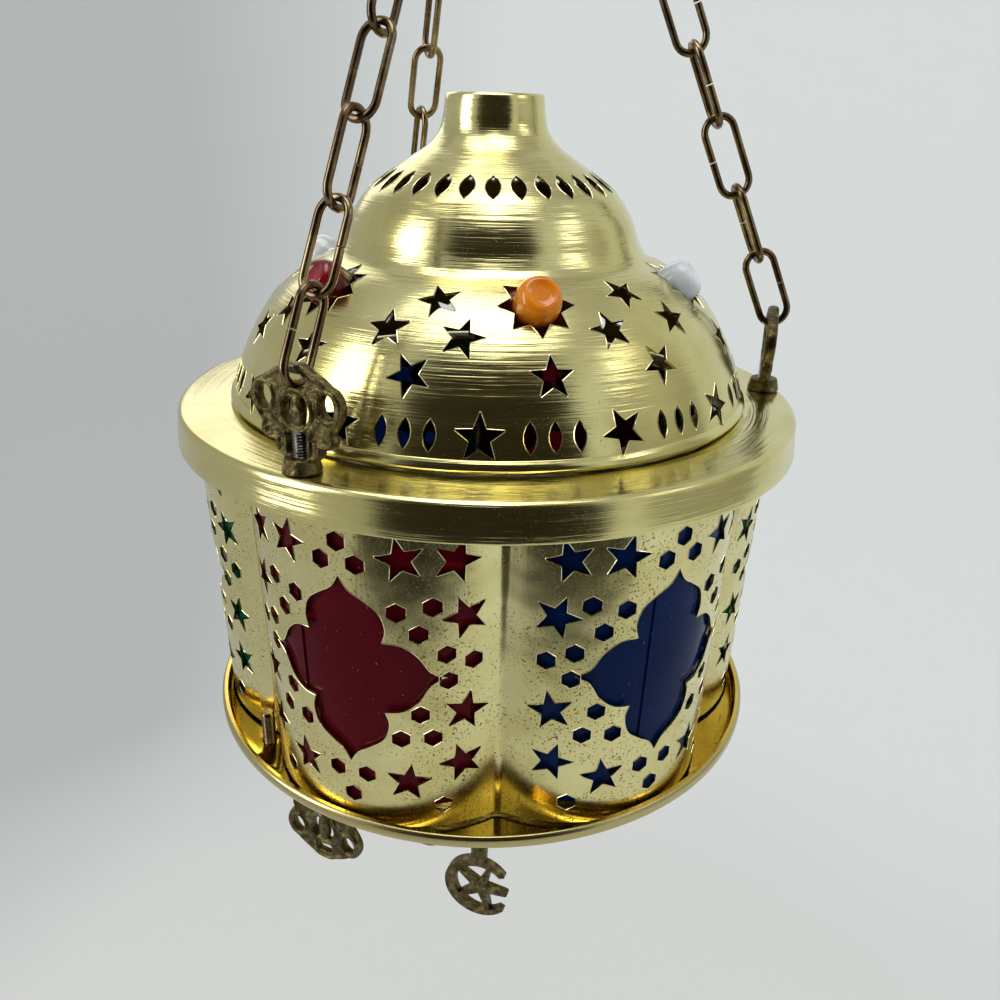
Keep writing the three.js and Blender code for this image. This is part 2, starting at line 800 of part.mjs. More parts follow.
const makeRod = () => {
  const upperNut = BRIM_TOP + GAP;
  const lowerNut = DISH_UNDER - GAP - NUT_HEIGHT;
  const corners = NUT / Math.cos(Math.PI / 6);
  return join([
    post(STUD, lowerNut - ROD_END, upperNut + NUT_HEIGHT + ROD_END, STUD_SIDES),
    post(corners, upperNut, upperNut + NUT_HEIGHT, 6),
    post(corners, lowerNut, lowerNut + NUT_HEIGHT, 6),
  ]);
};

// Openwork casting standing on z = 0 in the XZ plane, with its stud and the stud's head below
const makeCasting = () => {
  const half = CAST_WIDTH / 2;
  const side = [
    [CAST_FOOT / 2, 2],
    [CAST_FOOT / 2 + 1.4, 4.4],
    [half - 2.2, 7.4],
    [half, 10.8],
    [half - 0.4, 15],
    [half - 3, 18],
    [half - 5, CAST_HEIGHT - 2.8],
    [half - 9, CAST_HEIGHT - 0.5],
  ];
  const mirrored = side.map(([x, y]) => [-x, y]).reverse();
  const face = outline([...side, ...mirrored]);
  const slotTop = CAST_HEIGHT - CAST_BAR;
  const slotFoot = slotTop - CAST_SLOT;
  const holes = [
    [[-3.4, slotFoot + 1], [0, slotFoot], [3.4, slotFoot + 1], [3.4, slotTop - 1],
      [1.8, slotTop], [-1.8, slotTop], [-3.4, slotTop - 1]],
    [[1.4, 7.6], [3.6, 9.6], [4.2, 12.4], [3.4, 15.2], [1.4, 16.8], [2.3, 12.3]],
    [[-1.4, 7.6], [-3.6, 9.6], [-4.2, 12.4], [-3.4, 15.2], [-1.4, 16.8], [-2.3, 12.3]],
    [[half - 5.8, 12.6], [half - 4, 10], [half - 2.2, 12.6], [half - 4, 15.4]],
    [[5.8 - half, 12.6], [4 - half, 10], [2.2 - half, 12.6], [4 - half, 15.4]],
  ];
  for (const hole of holes) {
    face.holes.push(new THREE.Path(hole.map(([x, y]) => new THREE.Vector2(x, y))));
  }
  const blade = new THREE.ExtrudeGeometry(face, { depth: CAST_THICKNESS, bevelEnabled: false });
  blade.translate(0, 0, -CAST_THICKNESS / 2);
  blade.rotateX(Math.PI / 2);
  const headTop = -(SHEET + 2 * GAP);
  return join([
    outward(blade),
    post(CAST_FOOT, 0, CAST_FOOT_HEIGHT, BORE_SIDES),
    post(STUD, headTop - 1, 1, STUD_SIDES),
    post(STUD_HEAD, headTop - STUD_HEAD_HEIGHT, headTop, STUD_SIDES),
  ]);
};

const baseTop = DISH_FLOOR - SHEET - GAP;
const baseProfile = () => {
  const bowl = BASE_RADIUS - BASE_WAIST_RADIUS;
  const lower = BASE_WAIST_RADIUS - BASE_NECK_RADIUS;
  const reach = BASE_DEPTH - BASE_WAIST_DEPTH;
  return [
    [BASE_RADIUS, baseTop],
    [BASE_RADIUS + 0.8, baseTop - 1.6],
    [BASE_RADIUS - 0.8, baseTop - 3.4],
    [BASE_RADIUS - bowl * 0.2, baseTop - BASE_WAIST_DEPTH * 0.4],
    [BASE_RADIUS - bowl * 0.44, baseTop - BASE_WAIST_DEPTH * 0.7],
    [BASE_RADIUS - bowl * 0.76, baseTop - BASE_WAIST_DEPTH * 0.913],
    [BASE_WAIST_RADIUS, baseTop - BASE_WAIST_DEPTH],
    [BASE_WAIST_RADIUS - 1, baseTop - BASE_WAIST_DEPTH - 2],
    [BASE_WAIST_RADIUS - lower * 0.15, baseTop - BASE_WAIST_DEPTH - reach * 0.25],
    [BASE_WAIST_RADIUS - lower * 0.43, baseTop - BASE_WAIST_DEPTH - reach * 0.48],
    [BASE_NECK_RADIUS + lower * 0.31, baseTop - BASE_WAIST_DEPTH - reach * 0.62],
    [BASE_NECK_RADIUS + lower * 0.11, baseTop - BASE_WAIST_DEPTH - reach * 0.75],
    [BASE_NECK_RADIUS + 0.5, baseTop - BASE_WAIST_DEPTH - reach * 0.88],
    [BASE_NECK_RADIUS, baseTop - BASE_DEPTH],
  ];
};

const BASE_PROFILE = baseProfile();

const makeBaseDome = () => {
  const stemBore = STEM / 2 + GAP;
  const foot = baseTop - BASE_DEPTH;
  const inside = offsetInside(BASE_PROFILE, SHEET).reverse();
  inside[0][1] = foot + SHEET;
  inside[inside.length - 1][1] = baseTop;
  const body = turned([
    ...BASE_PROFILE,
    [stemBore, foot],
    [stemBore, foot + SHEET],
    ...inside,
    BASE_PROFILE[0],
  ], BASE_SEGMENTS);
  const cutters = [];
  for (let i = 0; i < DOME_STARS; i += 1) {
    const azimuth = BASE_STAR_START + (i * 360) / DOME_STARS;
    const place = onProfile(BASE_PROFILE, baseTop - BASE_STAR_DEPTH);
    cutters.push(cutter(
      beadStar(),
      polar(azimuth, place.radius, baseTop - BASE_STAR_DEPTH),
      slope(azimuth, BASE_BEAD_ELEVATION),
      BASE_STAR_REACH,
    ));
  }
  return cut(body, cutters);
};

const makeFinial = () => {
  const crescent = [];
  const open = rad(CRESCENT_OPENING);
  const steps = CRESCENT_STEPS;
  const step = (2 * Math.PI - 2 * open) / steps;
  for (let i = 0; i <= steps; i += 1) {
    const angle = open + step * i;
    crescent.push([CRESCENT_RADIUS * Math.cos(angle), CRESCENT_RADIUS * Math.sin(angle)]);
  }
  const inner = [];
  for (let i = 1; i < steps; i += 1) {
    const angle = open + step * i;
    inner.push([
      CRESCENT_SHIFT + CRESCENT_BORE * Math.cos(angle),
      CRESCENT_BORE * Math.sin(angle),
    ]);
  }
  const star = starOutline(
    SMALL_STAR_ARMS,
    CRESCENT_BORE + FINIAL_STAR_BITE,
    FINIAL_STAR_WAIST,
    FINIAL_STAR_TURN,
  );
  const starPoints = star.map(([x, y]) => [x + CRESCENT_SHIFT, y]);
  const plateOf = (points) => {
    const plate = new THREE.ExtrudeGeometry(outline(points), {
      depth: CRESCENT_THICKNESS,
      bevelEnabled: false,
    });
    plate.translate(0, 0, -CRESCENT_THICKNESS / 2);
    plate.rotateX(Math.PI / 2);
    plate.rotateZ(rad(FINIAL_TURN));
    plate.translate(0, 0, FINIAL_CENTRE);
    return outward(plate);
  };
  const plateUnder = baseTop - BASE_DEPTH;
  return join([
    plateOf([...crescent, ...inner.reverse()]),
    plateOf(starPoints),
    post(STEM, FINIAL_CENTRE + CRESCENT_RADIUS - 1.4, plateUnder + SHEET + 5, STEM_SIDES),
    post(COLLAR, plateUnder - GAP - 2, plateUnder - GAP, STEM_SIDES),
    post(COLLAR, plateUnder + SHEET + GAP, plateUnder + SHEET + GAP + 3, 6),
  ]);
};

// Chain link in the XZ plane with its length along Z, its split half way up one side
const makeLink = () => {
  const bend = (LINK_WIDTH - LINK_WIRE) / 2;
  const straight = (LINK_LENGTH - LINK_WIRE) / 2 - bend;
  const points = [new THREE.Vector3(bend, 0, LINK_SPLIT / 2)];
  const tangents = [new THREE.Vector3(0, 0, 1)];
  for (const side of [1, -1]) {
    for (let i = 0; i <= 4; i += 1) {
      const angle = (Math.PI * i) / 4;
      points.push(new THREE.Vector3(
        side * bend * Math.cos(angle),
        0,
        side * (straight + bend * Math.sin(angle)),
      ));
      tangents.push(new THREE.Vector3(
        -side * Math.sin(angle),
        0,
        side * Math.cos(angle),
      ));
    }
  }
  points.push(new THREE.Vector3(bend, 0, -LINK_SPLIT / 2));
  tangents.push(new THREE.Vector3(0, 0, 1));
  return tube(points, tangents, LINK_WIRE, LINK_SIDES);
};

// Chain line from the lug's bar up to the ring: seats, height of the ring and each link's place
const LUG_FOOT = BRIM_TOP + GAP;
const BAR_HEIGHT = LUG_FOOT + CAST_HEIGHT - CAST_BAR / 2;
const LINK_PITCH = LINK_LENGTH - 2 * LINK_WIRE - GAP;
const LUG_SEAT = CAST_THICKNESS / 2 + LINK_WIRE / 2 + SEAT_GAP;
const RING_SEAT = RING_WIRE / 2 + GAP + LINK_WIRE / 2;
const RING_RADIUS = (RING_DIAMETER - RING_WIRE) / 2;
const CHAIN_REACH = (LINKS_PER_CHAIN - 1) * LINK_PITCH + LINK_LENGTH - LINK_WIRE
  - LUG_SEAT - RING_SEAT;
const RING_BOTTOM = BAR_HEIGHT + Math.sqrt(CHAIN_REACH ** 2 - LUG_RADIUS ** 2);
const RING_CENTRE = RING_BOTTOM + RING_RADIUS;
const HOOK_BEND = RING_CENTRE + RING_RADIUS - RING_WIRE / 2 - GAP - HOOK_WIRE / 2;
const HOOK_LOWER = HOOK_BEND + HOOK_LOWER_RADIUS;
const HOOK_UPPER = HOOK_LOWER + HOOK_LOWER_RADIUS + HOOK_UPPER_RADIUS + HOOK_SHANK;
const BEARING = HOOK_UPPER + HOOK_UPPER_RADIUS - HOOK_WIRE / 2;

const CHAINS = [
  { name: 'front', azimuth: LUG_AZIMUTHS[0], ring: 0, twist: -56 },
  { name: 'right', azimuth: LUG_AZIMUTHS[1], ring: RING_SPREAD, twist: 0 },
  { name: 'back', azimuth: LUG_AZIMUTHS[2], ring: -RING_SPREAD, twist: 68 },
];

const chainPlaces = (chain) => {
  const low = polar(chain.azimuth, LUG_RADIUS, BAR_HEIGHT);
  const turn = rad(chain.ring);
  const high = new THREE.Vector3(
    RING_RADIUS * Math.sin(turn),
    0,
    RING_CENTRE - RING_RADIUS * Math.cos(turn),
  );
  const along = high.clone().sub(low);
  const reach = along.length();
  along.normalize();
  const span = reach + LUG_SEAT + RING_SEAT - (LINK_LENGTH - LINK_WIRE);
  const pitch = span / (LINKS_PER_CHAIN - 1);
  const first = (LINK_LENGTH - LINK_WIRE) / 2 - LUG_SEAT;
  const outwards = polar(chain.azimuth, 1, 0);
  const sideways = along.clone().cross(outwards).normalize();
  const lateral = sideways.clone().cross(along).normalize();
  const places = [];
  for (let i = 0; i < LINKS_PER_CHAIN; i += 1) {
    const over = Math.max(0, i - STRAIGHT_LINKS + 1) / (LINKS_PER_CHAIN - STRAIGHT_LINKS);
    const spin = rad(90 * i + chain.twist * over);
    const across = lateral.clone().multiplyScalar(Math.cos(spin))
      .addScaledVector(sideways, Math.sin(spin));
    const facing = along.clone().cross(across);
    places.push(new THREE.Matrix4().makeBasis(across, facing, along)
      .setPosition(low.clone().addScaledVector(along, first + i * pitch)));
  }
  return places;
};

const makeRing = () => {
  const geometry = new THREE.TorusGeometry(RING_RADIUS, RING_WIRE / 2, 5, 20);
  geometry.rotateX(Math.PI / 2);
  return outward(geometry);
};

// S shaped hook in the YZ plane: two bends joined by the line that touches both
const makeHook = () => {
  const apart = HOOK_UPPER - HOOK_LOWER;
  const lean = Math.asin((HOOK_UPPER_RADIUS + HOOK_LOWER_RADIUS) / apart);
  const points = [];
  const tangents = [];
  const bend = (centre, radius, from, to, steps) => {
    const way = to > from ? 1 : -1;
    for (let i = 0; i <= steps; i += 1) {
      const angle = from + ((to - from) * i) / steps;
      points.push(new THREE.Vector3(
        0,
        radius * Math.cos(angle),
        centre + radius * Math.sin(angle),
      ));
      tangents.push(new THREE.Vector3(0, -way * Math.sin(angle), way * Math.cos(angle)));
    }
  };
  bend(HOOK_UPPER, HOOK_UPPER_RADIUS, rad(-15), Math.PI + Math.PI / 2 - lean, 10);
  bend(HOOK_LOWER, HOOK_LOWER_RADIUS, Math.PI / 2 - lean, rad(-195), 9);
  return tube(points, tangents, HOOK_WIRE, HOOK_SIDES);
};

const hanging = new THREE.Group();
const lantern = new THREE.Group();
lantern.position.z = -BEARING;
hanging.add(lantern);

const addPiece = (name, geometry, look, matrix = null) => {
  const mesh = new THREE.Mesh(geometry, new THREE.MeshStandardMaterial(look));
  mesh.name = name;
  if (matrix) {
    mesh.applyMatrix4(matrix);
  }
  lantern.add(mesh);
  return mesh;
};

const standing = (azimuth, radius, height, turn = 0, flipped = false) => {
  const matrix = new THREE.Matrix4().makeRotationZ(rad(azimuth + turn));
  if (flipped) {
    matrix.multiply(new THREE.Matrix4().makeRotationX(Math.PI));
  }
  return matrix.setPosition(polar(azimuth, radius, height));
};

const pointing = (azimuth, radius, height, elevation) => (
  facing(polar(azimuth, radius, height), slope(azimuth, elevation))
);

addPiece('hanging_hook', makeHook(), CHAIN);
addPiece('gather_ring', makeRing(), CHAIN, standing(0, 0, RING_CENTRE));
for (const chain of CHAINS) {
  chainPlaces(chain).forEach((place, i) => {
    addPiece(`chain_${chain.name}_link_${i + 1}`, makeLink(), CHAIN, place);
  });
}
LUG_AZIMUTHS.forEach((azimuth, i) => {
  addPiece(`chain_lug_${i + 1}`, makeCasting(), CASTING,
    standing(azimuth, LUG_RADIUS, LUG_FOOT));
});
addPiece('dome', makeDome(), BRASS);
const starPlace = onProfile(DOME_PROFILE, BIG_STAR_HEIGHT);
for (let i = 0; i < DOME_STARS; i += 1) {
  const azimuth = DOME_STAR_START + (i * 360) / DOME_STARS;
  addPiece(`dome_bead_${i + 1}`, makeBead(), { color: BEAD_COLOURS[i], roughness: 0.12 },
    pointing(azimuth, starPlace.radius, BIG_STAR_HEIGHT, BEAD_ELEVATION));
}
addPiece('brim', makeBrim(), BRASS);
addPiece('wall', makeWall(), BRASS);
for (let lobe = 0; lobe < LOBES; lobe += 1) {
  addPiece(`film_${lobe + 1}`, makeFilm(lobe), { color: FILM_COLOURS[lobe], roughness: 0.15 });
}
addPiece('dish', makeDish(), GOLD);
ROD_AZIMUTHS.forEach((azimuth, i) => {
  addPiece(`tie_rod_${i + 1}`, makeRod(), STEEL, standing(azimuth, ROD_RADIUS, 0));
});
DROP_AZIMUTHS.forEach((azimuth, i) => {
  addPiece(`drop_casting_${i + 1}`, makeCasting(), CASTING,
    standing(azimuth, DROP_RADIUS, DISH_UNDER - GAP, DROP_TURN, true));
});
addPiece('base_dome', makeBaseDome(), BRASS);
const basePlace = onProfile(BASE_PROFILE, baseTop - BASE_STAR_DEPTH);
addPiece('base_bead', makeBead(), { color: BEAD_COLOURS[5], roughness: 0.12 },
  pointing(BASE_STAR_START, basePlace.radius, baseTop - BASE_STAR_DEPTH, BASE_BEAD_ELEVATION));
addPiece('finial', makeFinial(), CASTING);

export default hanging;
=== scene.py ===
"""A pierced brass hanging lantern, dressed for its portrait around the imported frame.

Shapes are worked out in millimetres, with heights measured up from the brim's lower outer corner.
A piece is brought to metres and to the row frame when it is handed over.
"""

import logging
import math
from dataclasses import dataclass
from enum import Enum
from typing import Iterable, Sequence

import bmesh
import bpy
from mathutils import Matrix, Vector
from mathutils.bvhtree import BVHTree


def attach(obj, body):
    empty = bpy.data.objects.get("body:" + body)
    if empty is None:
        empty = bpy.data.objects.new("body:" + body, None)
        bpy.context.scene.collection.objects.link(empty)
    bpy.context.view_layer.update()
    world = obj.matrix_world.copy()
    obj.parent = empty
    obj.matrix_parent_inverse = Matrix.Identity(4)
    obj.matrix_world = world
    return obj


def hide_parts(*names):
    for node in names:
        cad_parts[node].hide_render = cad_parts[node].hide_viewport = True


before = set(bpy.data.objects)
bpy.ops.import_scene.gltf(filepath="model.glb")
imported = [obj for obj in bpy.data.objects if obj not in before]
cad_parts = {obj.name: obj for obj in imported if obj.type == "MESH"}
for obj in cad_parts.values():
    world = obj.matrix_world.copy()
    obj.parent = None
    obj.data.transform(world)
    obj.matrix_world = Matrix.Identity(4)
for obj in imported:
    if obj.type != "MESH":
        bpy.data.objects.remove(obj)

LOG = logging.getLogger("lantern")
MILLIMETRE = 0.001
# From the brim's lower outer corner up to the point where the hook bears
BEARING = 258.406

# Sizes that several sub-assemblies share
SHEET = 0.8
GAP = 0.3
BRIM_TOP = 2.0
BRIM_RADIUS = 90.0
WALL_RADIUS = 86.7
WALL_TAPER = 0.959
WALL_BOTTOM = -96.1
WALL_TOP = -2.2
DISH_TOP = -92.8
DISH_LEDGE = -97.2
DISH_FLOOR = -100.0
DISH_RADIUS = 85.995
ROD_RADIUS = 67.2
# Azimuths are in degrees from the front, positive to the right
ROD_AZIMUTHS = (-56.5, 63.5, 183.5)
LUG_RADIUS = 84.0
LUG_AZIMUTHS = (-30.0, 92.5, 202.0)
DROP_RADIUS = 75.995
DROP_AZIMUTHS = (-36.0, 84.0, 204.0)
# The radius of the bores for studs and rods
BORE = 2.3
JOINT_AZIMUTH = 3.5
LOBES = 6
BEADS = 6
BEAD_START = 11.5
# The radius of the fine wires that stand for burrs
BURR_WIRE = 0.12
# How far apart the points of a turned section are
TURNED_STEP = 1.3

Outline = list[tuple[float, float]]
Piece = bpy.types.Object
Mesh = bpy.types.Mesh
Socket = bpy.types.NodeSocket


class Body(Enum):
    """The moving bodies of the frame."""

    HOOK = "hook"
    RING = "ring"
    LANTERN = "lantern"


class Slot(Enum):
    """The record's material slots."""

    BRASS = "brass_sheet"
    GOLD = "polished_gold"
    CASTING = "casting"
    CHAIN = "chain"
    STEEL = "steel"
    FILM_BLUE = "film_blue"
    FILM_GREEN = "film_green"
    FILM_RED = "film_red"
    AMBER = "glass_amber"
    MILKY = "glass_milky"
    GREEN = "glass_green"
    BLUE = "glass_blue"
    RUBY = "glass_ruby"


# Places and outlines


def polar(azimuth: float, radius: float, height: float) -> Vector:
    """Gives the point at an azimuth in degrees from the front, a radius and a height."""
    turn = math.radians(azimuth)
    return Vector((radius * math.sin(turn), -radius * math.cos(turn), height))


def at(azimuth: float, radius: float, height: float) -> Matrix:
    """Gives a shift to a point."""
    return Matrix.Translation(polar(azimuth, radius, height))


def facing(centre: Vector, out: Vector) -> Matrix:
    """Gives a place whose Z looks out and whose Y stays as upright as it can.

    Args:
        centre: The place's origin.
        out: The direction in which it looks.

    Returns:
        The place as a matrix.
    """
    outward = out.normalized()
    across = Vector((0, 0, 1)).cross(outward).normalized()
    basis = Matrix((across, outward.cross(across), outward)).transposed()
    return Matrix.Translation(centre) @ basis.to_4x4()


def slope(azimuth: float, elevation: float) -> Vector:
    """Gives the unit vector that looks out at an azimuth and up by an elevation."""
    rise = math.radians(elevation)
    return polar(azimuth, math.cos(rise), math.sin(rise))


def flowing(points: Sequence[tuple[float, float]], step: float, corners: Sequence[int] = ()) -> Outline:
    """Draws a smooth line through points.

    Args:
        points: The points that the line passes.
        step: The length of its segments.
        corners: Indices of points where it turns sharply.

    Returns:
        The line's points.
    """
    stops = [0, *sorted(corners), len(points) - 1]
    line = [points[0]]
    for first, last in zip(stops, stops[1:]):
        run = [Vector(p) for p in points[first : last + 1]]
        for i in range(len(run) - 1):
            before, after = run[max(i - 1, 0)], run[min(i + 2, len(run) - 1)]
            a, b = run[i], run[i + 1]
            count = max(1, round((b - a).length / step))
            for k in range(1, count + 1):
                t = k / count
                leave, arrive = (b - before) / 2, (after - a) / 2
                place = (
                    a * (2 * t**3 - 3 * t**2 + 1)
                    + leave * (t**3 - 2 * t**2 + t)
                    + b * (3 * t**2 - 2 * t**3)
                    + arrive * (t**3 - t**2)
                )
                line.append(tuple(place))
    return line


def inside_of(section: Outline, thickness: float) -> Outline:
    """Gives a section's line moved to its left by a thickness.

    Args:
        section: Radius and height along the outer skin.
        thickness: The sheet's thickness.

    Returns:
        The inner skin's line, in the same order.
    """
    moved = []
    for i, point in enumerate(section):
        before, after = section[max(i - 1, 0)], section[min(i + 1, len(section) - 1)]
        along = (Vector(after) - Vector(before)).normalized()
        moved.append((point[0] - thickness * along.y, point[1] + thickness * along.x))
    return moved


def dense(outline: Sequence[tuple[float, float]], step: float) -> Outline:
    """Gives a closed outline with points added so that no side is much longer than a step.

    Args:
        outline: The closed outline.
        step: The length of its new sides.

    Returns:
        The outline with its added points.
    """
    points = []
    for here, there in zip(outline, [*outline[1:], outline[0]]):
        a, b = Vector(here), Vector(there)
        count = max(1, round((b - a).length / step))
        points.extend(tuple(a.lerp(b, k / count)) for k in range(count))
    return points


def star_outline(arms: int, tip: float, waist: float, turn: float = 0.0, blunt: float = 0.0) -> Outline:
    """Draws a star.

    Args:
        arms: The number of arms.
        tip: The radius of their tips.
        waist: The radius of the inner corners.
        turn: The angle by which it is turned, in degrees.
        blunt: Half the width of the worn tips, in degrees as seen from the middle.

    Returns:
        The star's outline.
    """
    points = []
    for i in range(2 * arms):
        angle = math.pi / 2 + math.radians(turn) + math.pi * i / arms
        spots = [(waist, 0.0)]
        if i % 2 == 0:
            spots = [(tip, 0.0)]
            if blunt:
                worn = ((0.91, -1), (0.985, -0.5), (0.985, 0.5), (0.91, 1))
                spots = [(share * tip, side * blunt) for share, side in worn]
        for radius, offset in spots:
            spot = angle + math.radians(offset)
            points.append((radius * math.cos(spot), radius * math.sin(spot)))
    return points


def small_star(radius: float, turn: float) -> Outline:
    """Gives the five-armed star of the pierced pattern."""
    return star_outline(5, 1.03 * radius, 0.45 * radius, turn, 3.4)


def bead_star() -> Outline:
    """Gives the eight-armed star that holds a bead."""
    return star_outline(8, 9.6, 6.15)


def lens_outline(length: float, width: float, steps: int = 5) -> Outline:
    """Gives an upright lens with pointed ends.

    Args:
        length: Its height from tip to tip.
        width: Its greatest width.
        steps: The number of steps on each side.

    Returns:
        The lens's outline.
    """
    points = []
    for side in (1, -1):
        for i in range(steps):
            along = side * (1 - 2 * i / steps) * length / 2
            across = side * (width / 2) * (1 - (2 * along / length) ** 2)
            points.append((across, along))
    return points


def arc(radius: float, start: float, end: float, steps: int) -> Outline:
    """Gives the points of an arc about the origin, between two angles in radians."""
    turns = [start + (end - start) * i / steps for i in range(steps + 1)]
    return [(radius * math.cos(turn), radius * math.sin(turn)) for turn in turns]


def ring_outline(radius: float, sides: int, turn: float = 0.0) -> Outline:
    """Gives a regular outline, such as a hexagon."""
    start = math.radians(turn)
    return arc(radius, start, start + 2 * math.pi, sides)[:-1]


def mirrored(half: Outline) -> Outline:
    """Gives the other half of an outline across its Y axis, from the end back to the start."""
    return [(-x, y) for x, y in reversed(half[:-1])]


def crossing(line: Outline, height: float) -> tuple[float, Vector]:
    """Finds where a turned skin passes a height.

    Args:
        line: Radius and height along the skin.
        height: The height.

    Returns:
        The radius there, and the skin's direction.
    """
    for a, b in zip(line, line[1:]):
        if (a[1] - height) * (b[1] - height) <= 0 and a[1] != b[1]:
            share = (height - a[1]) / (b[1] - a[1])
            return a[0] + share * (b[0] - a[0]), Vector((b[0] - a[0], b[1] - a[1]))
    raise ValueError(height)


def taper(height: float) -> float:
    """Gives the scale of the wall's plan at a height."""
    return 1 + (WALL_TAPER - 1) * height / WALL_BOTTOM


# Meshes


def mesh_of(work: bmesh.types.BMesh) -> Mesh:
    """Turns a working mesh into a plain one and frees it.

    Args:
        work: The working mesh.

    Returns:
        The plain mesh.
    """
    mesh = bpy.data.meshes.new("blank")
    work.to_mesh(mesh)
    work.free()
    return mesh


def solid_of(work: bmesh.types.BMesh) -> Mesh:
    """Turns a working mesh of closed bodies into a plain one, its faces looking outwards."""
    bmesh.ops.recalc_face_normals(work, faces=work.faces)
    return mesh_of(work)


def into_scene(name: str, data: bpy.types.ID) -> Piece:
    """Gives an object that shows its data in the scene.

    Args:
        name: The object's name.
        data: Its mesh, lamp or camera.

    Returns:
        The object.
    """
    shown = bpy.data.objects.new(name, data)
    bpy.context.scene.collection.objects.link(shown)
    return shown


def finished(holder: Piece) -> Mesh:
    """Gives the mesh of an object with its modifiers or bevel applied, and removes the object.

    Args:
        holder: The object, which isn't in the scene.

    Returns:
        Its mesh as it is evaluated.
    """
    bpy.context.scene.collection.objects.link(holder)
    graph = bpy.context.evaluated_depsgraph_get()
    mesh = bpy.data.meshes.new_from_object(holder.evaluated_get(graph), depsgraph=graph)
    bpy.data.objects.remove(holder)
    return mesh


def spun(section: Outline, steps: int) -> Mesh:
    """Turns a section about Z.

    Args:
        section: Radius and height round the section. Where it starts and ends on the axis, it
            stays open there; elsewhere it is closed.
        steps: The number of steps round.

    Returns:
        The turned mesh.
    """
    work = bmesh.new()
    corners = [work.verts.new((radius, 0, height)) for radius, height in section]
    pairs = list(zip(corners, corners[1:]))
    if section[0][0] > 1e-6:
        pairs.append((corners[-1], corners[0]))
    edges = [work.edges.new(pair) for pair in pairs]
    bmesh.ops.spin(
        work,
        geom=corners + edges,
        cent=(0, 0, 0),
        axis=(0, 0, 1),
        angle=2 * math.pi,
        steps=steps,
        use_merge=True,
    )
    bmesh.ops.remove_doubles(work, verts=work.verts, dist=1e-4)
    return solid_of(work)


def add_prism(work: bmesh.types.BMesh, outline: Outline, place: Matrix, low: float, high: float) -> None:
    """Adds a closed prism to a working mesh.

    Args:
        work: The mesh to add to.
        outline: The prism's outline, seen against its place's Z.
        place: Where its outline lies.
        low: The height of its lower face in that place.
        high: The height of its upper face.
    """
    corners = [work.verts.new(place @ Vector((x, y, low))) for x, y in outline]
    face = work.faces.new(corners)
    raised = bmesh.ops.extrude_face_region(work, geom=[face])["geom"]
    moved = [part for part in raised if isinstance(part, bmesh.types.BMVert)]
    rise = place.to_3x3() @ Vector((0, 0, high - low))
    bmesh.ops.translate(work, vec=rise, verts=moved)


def prism(outline: Outline, place: Matrix, low: float, high: float) -> Mesh:
    """Gives one closed prism as a mesh.

    Args:
        outline: The prism's outline.
        place: Where its outline lies.
        low: The height of its lower face in that place.
        high: The height of its upper face.

    Returns:
        The prism.
    """
    work = bmesh.new()
    add_prism(work, outline, place, low, high)
    return solid_of(work)


def tubes(strands: Iterable[tuple[Sequence[Vector], bool]], radius: float, detail: int) -> Mesh:
    """Makes round wires along lines.

    Args:
        strands: Each wire's points, and whether it closes on itself.
        radius: The wires' radius.
        detail: The bevel resolution, from which the number of sides follows.

    Returns:
        One mesh of all the wires.
    """
    curve = bpy.data.curves.new("wire", "CURVE")
    curve.dimensions = "3D"
    curve.bevel_depth = radius
    curve.bevel_resolution = detail
    curve.use_fill_caps = True
    for points, closed in strands:
        spline = curve.splines.new("POLY")
        spline.points.add(len(points) - 1)
        for spot, point in zip(spline.points, points):
            spot.co = (*point, 1)
        spline.use_cyclic_u = closed
    mesh = finished(bpy.data.objects.new("wire", curve))
    bpy.data.curves.remove(curve)
    return mesh


def joined(meshes: Sequence[Mesh]) -> Mesh:
    """Puts several meshes into one, with their seams merged.

    Args:
        meshes: The meshes, which are removed.

    Returns:
        The one mesh.
    """
    work = bmesh.new()
    for mesh in meshes:
        work.from_mesh(mesh)
        bpy.data.meshes.remove(mesh)
    bmesh.ops.remove_doubles(work, verts=work.verts, dist=1e-4)
    return mesh_of(work)


def pierced(sheet: Mesh, punches: Mesh) -> Mesh:
    """Cuts punches out of a sheet.

    Args:
        sheet: A closed mesh.
        punches: Closed tools that don't meet each other.

    Returns:
        The sheet with its holes.
    """
    blank = bpy.data.objects.new("blank", sheet)
    tool = into_scene("punches", punches)
    cut = blank.modifiers.new("cut", "BOOLEAN")
    cut.operation = "DIFFERENCE"
    cut.object = tool
    cut.solver = "MANIFOLD"
    mesh = finished(blank)
    if 2 * len(mesh.vertices) < len(sheet.vertices):
        raise RuntimeError("a sheet came out of the press empty")
    bpy.data.objects.remove(tool)
    return mesh


def bored(blank: Mesh, spots: Sequence[tuple[float, float]], height: float) -> Mesh:
    """Bores a turned sheet.

    Args:
        blank: The sheet.
        spots: The azimuth and radius of each bore.
        height: The height of the sheet there.

    Returns:
        The sheet with its bores.
    """
    work = bmesh.new()
    for azimuth, radius in spots:
        add_prism(work, ring_outline(BORE, 20), at(azimuth, radius, height), -3, 3)
    return pierced(blank, solid_of(work))


def thickened(skin: Mesh, thickness: float) -> Mesh:
    """Gives an open skin its thickness, laid on the side away from its normals.

    Args:
        skin: The open skin.
        thickness: The sheet's thickness.

    Returns:
        The sheet.
    """
    holder = bpy.data.objects.new("skin", skin)
    wall = holder.modifiers.new("sheet", "SOLIDIFY")
    wall.thickness = thickness
    wall.offset = -1
    wall.use_even_offset = True
    return finished(holder)


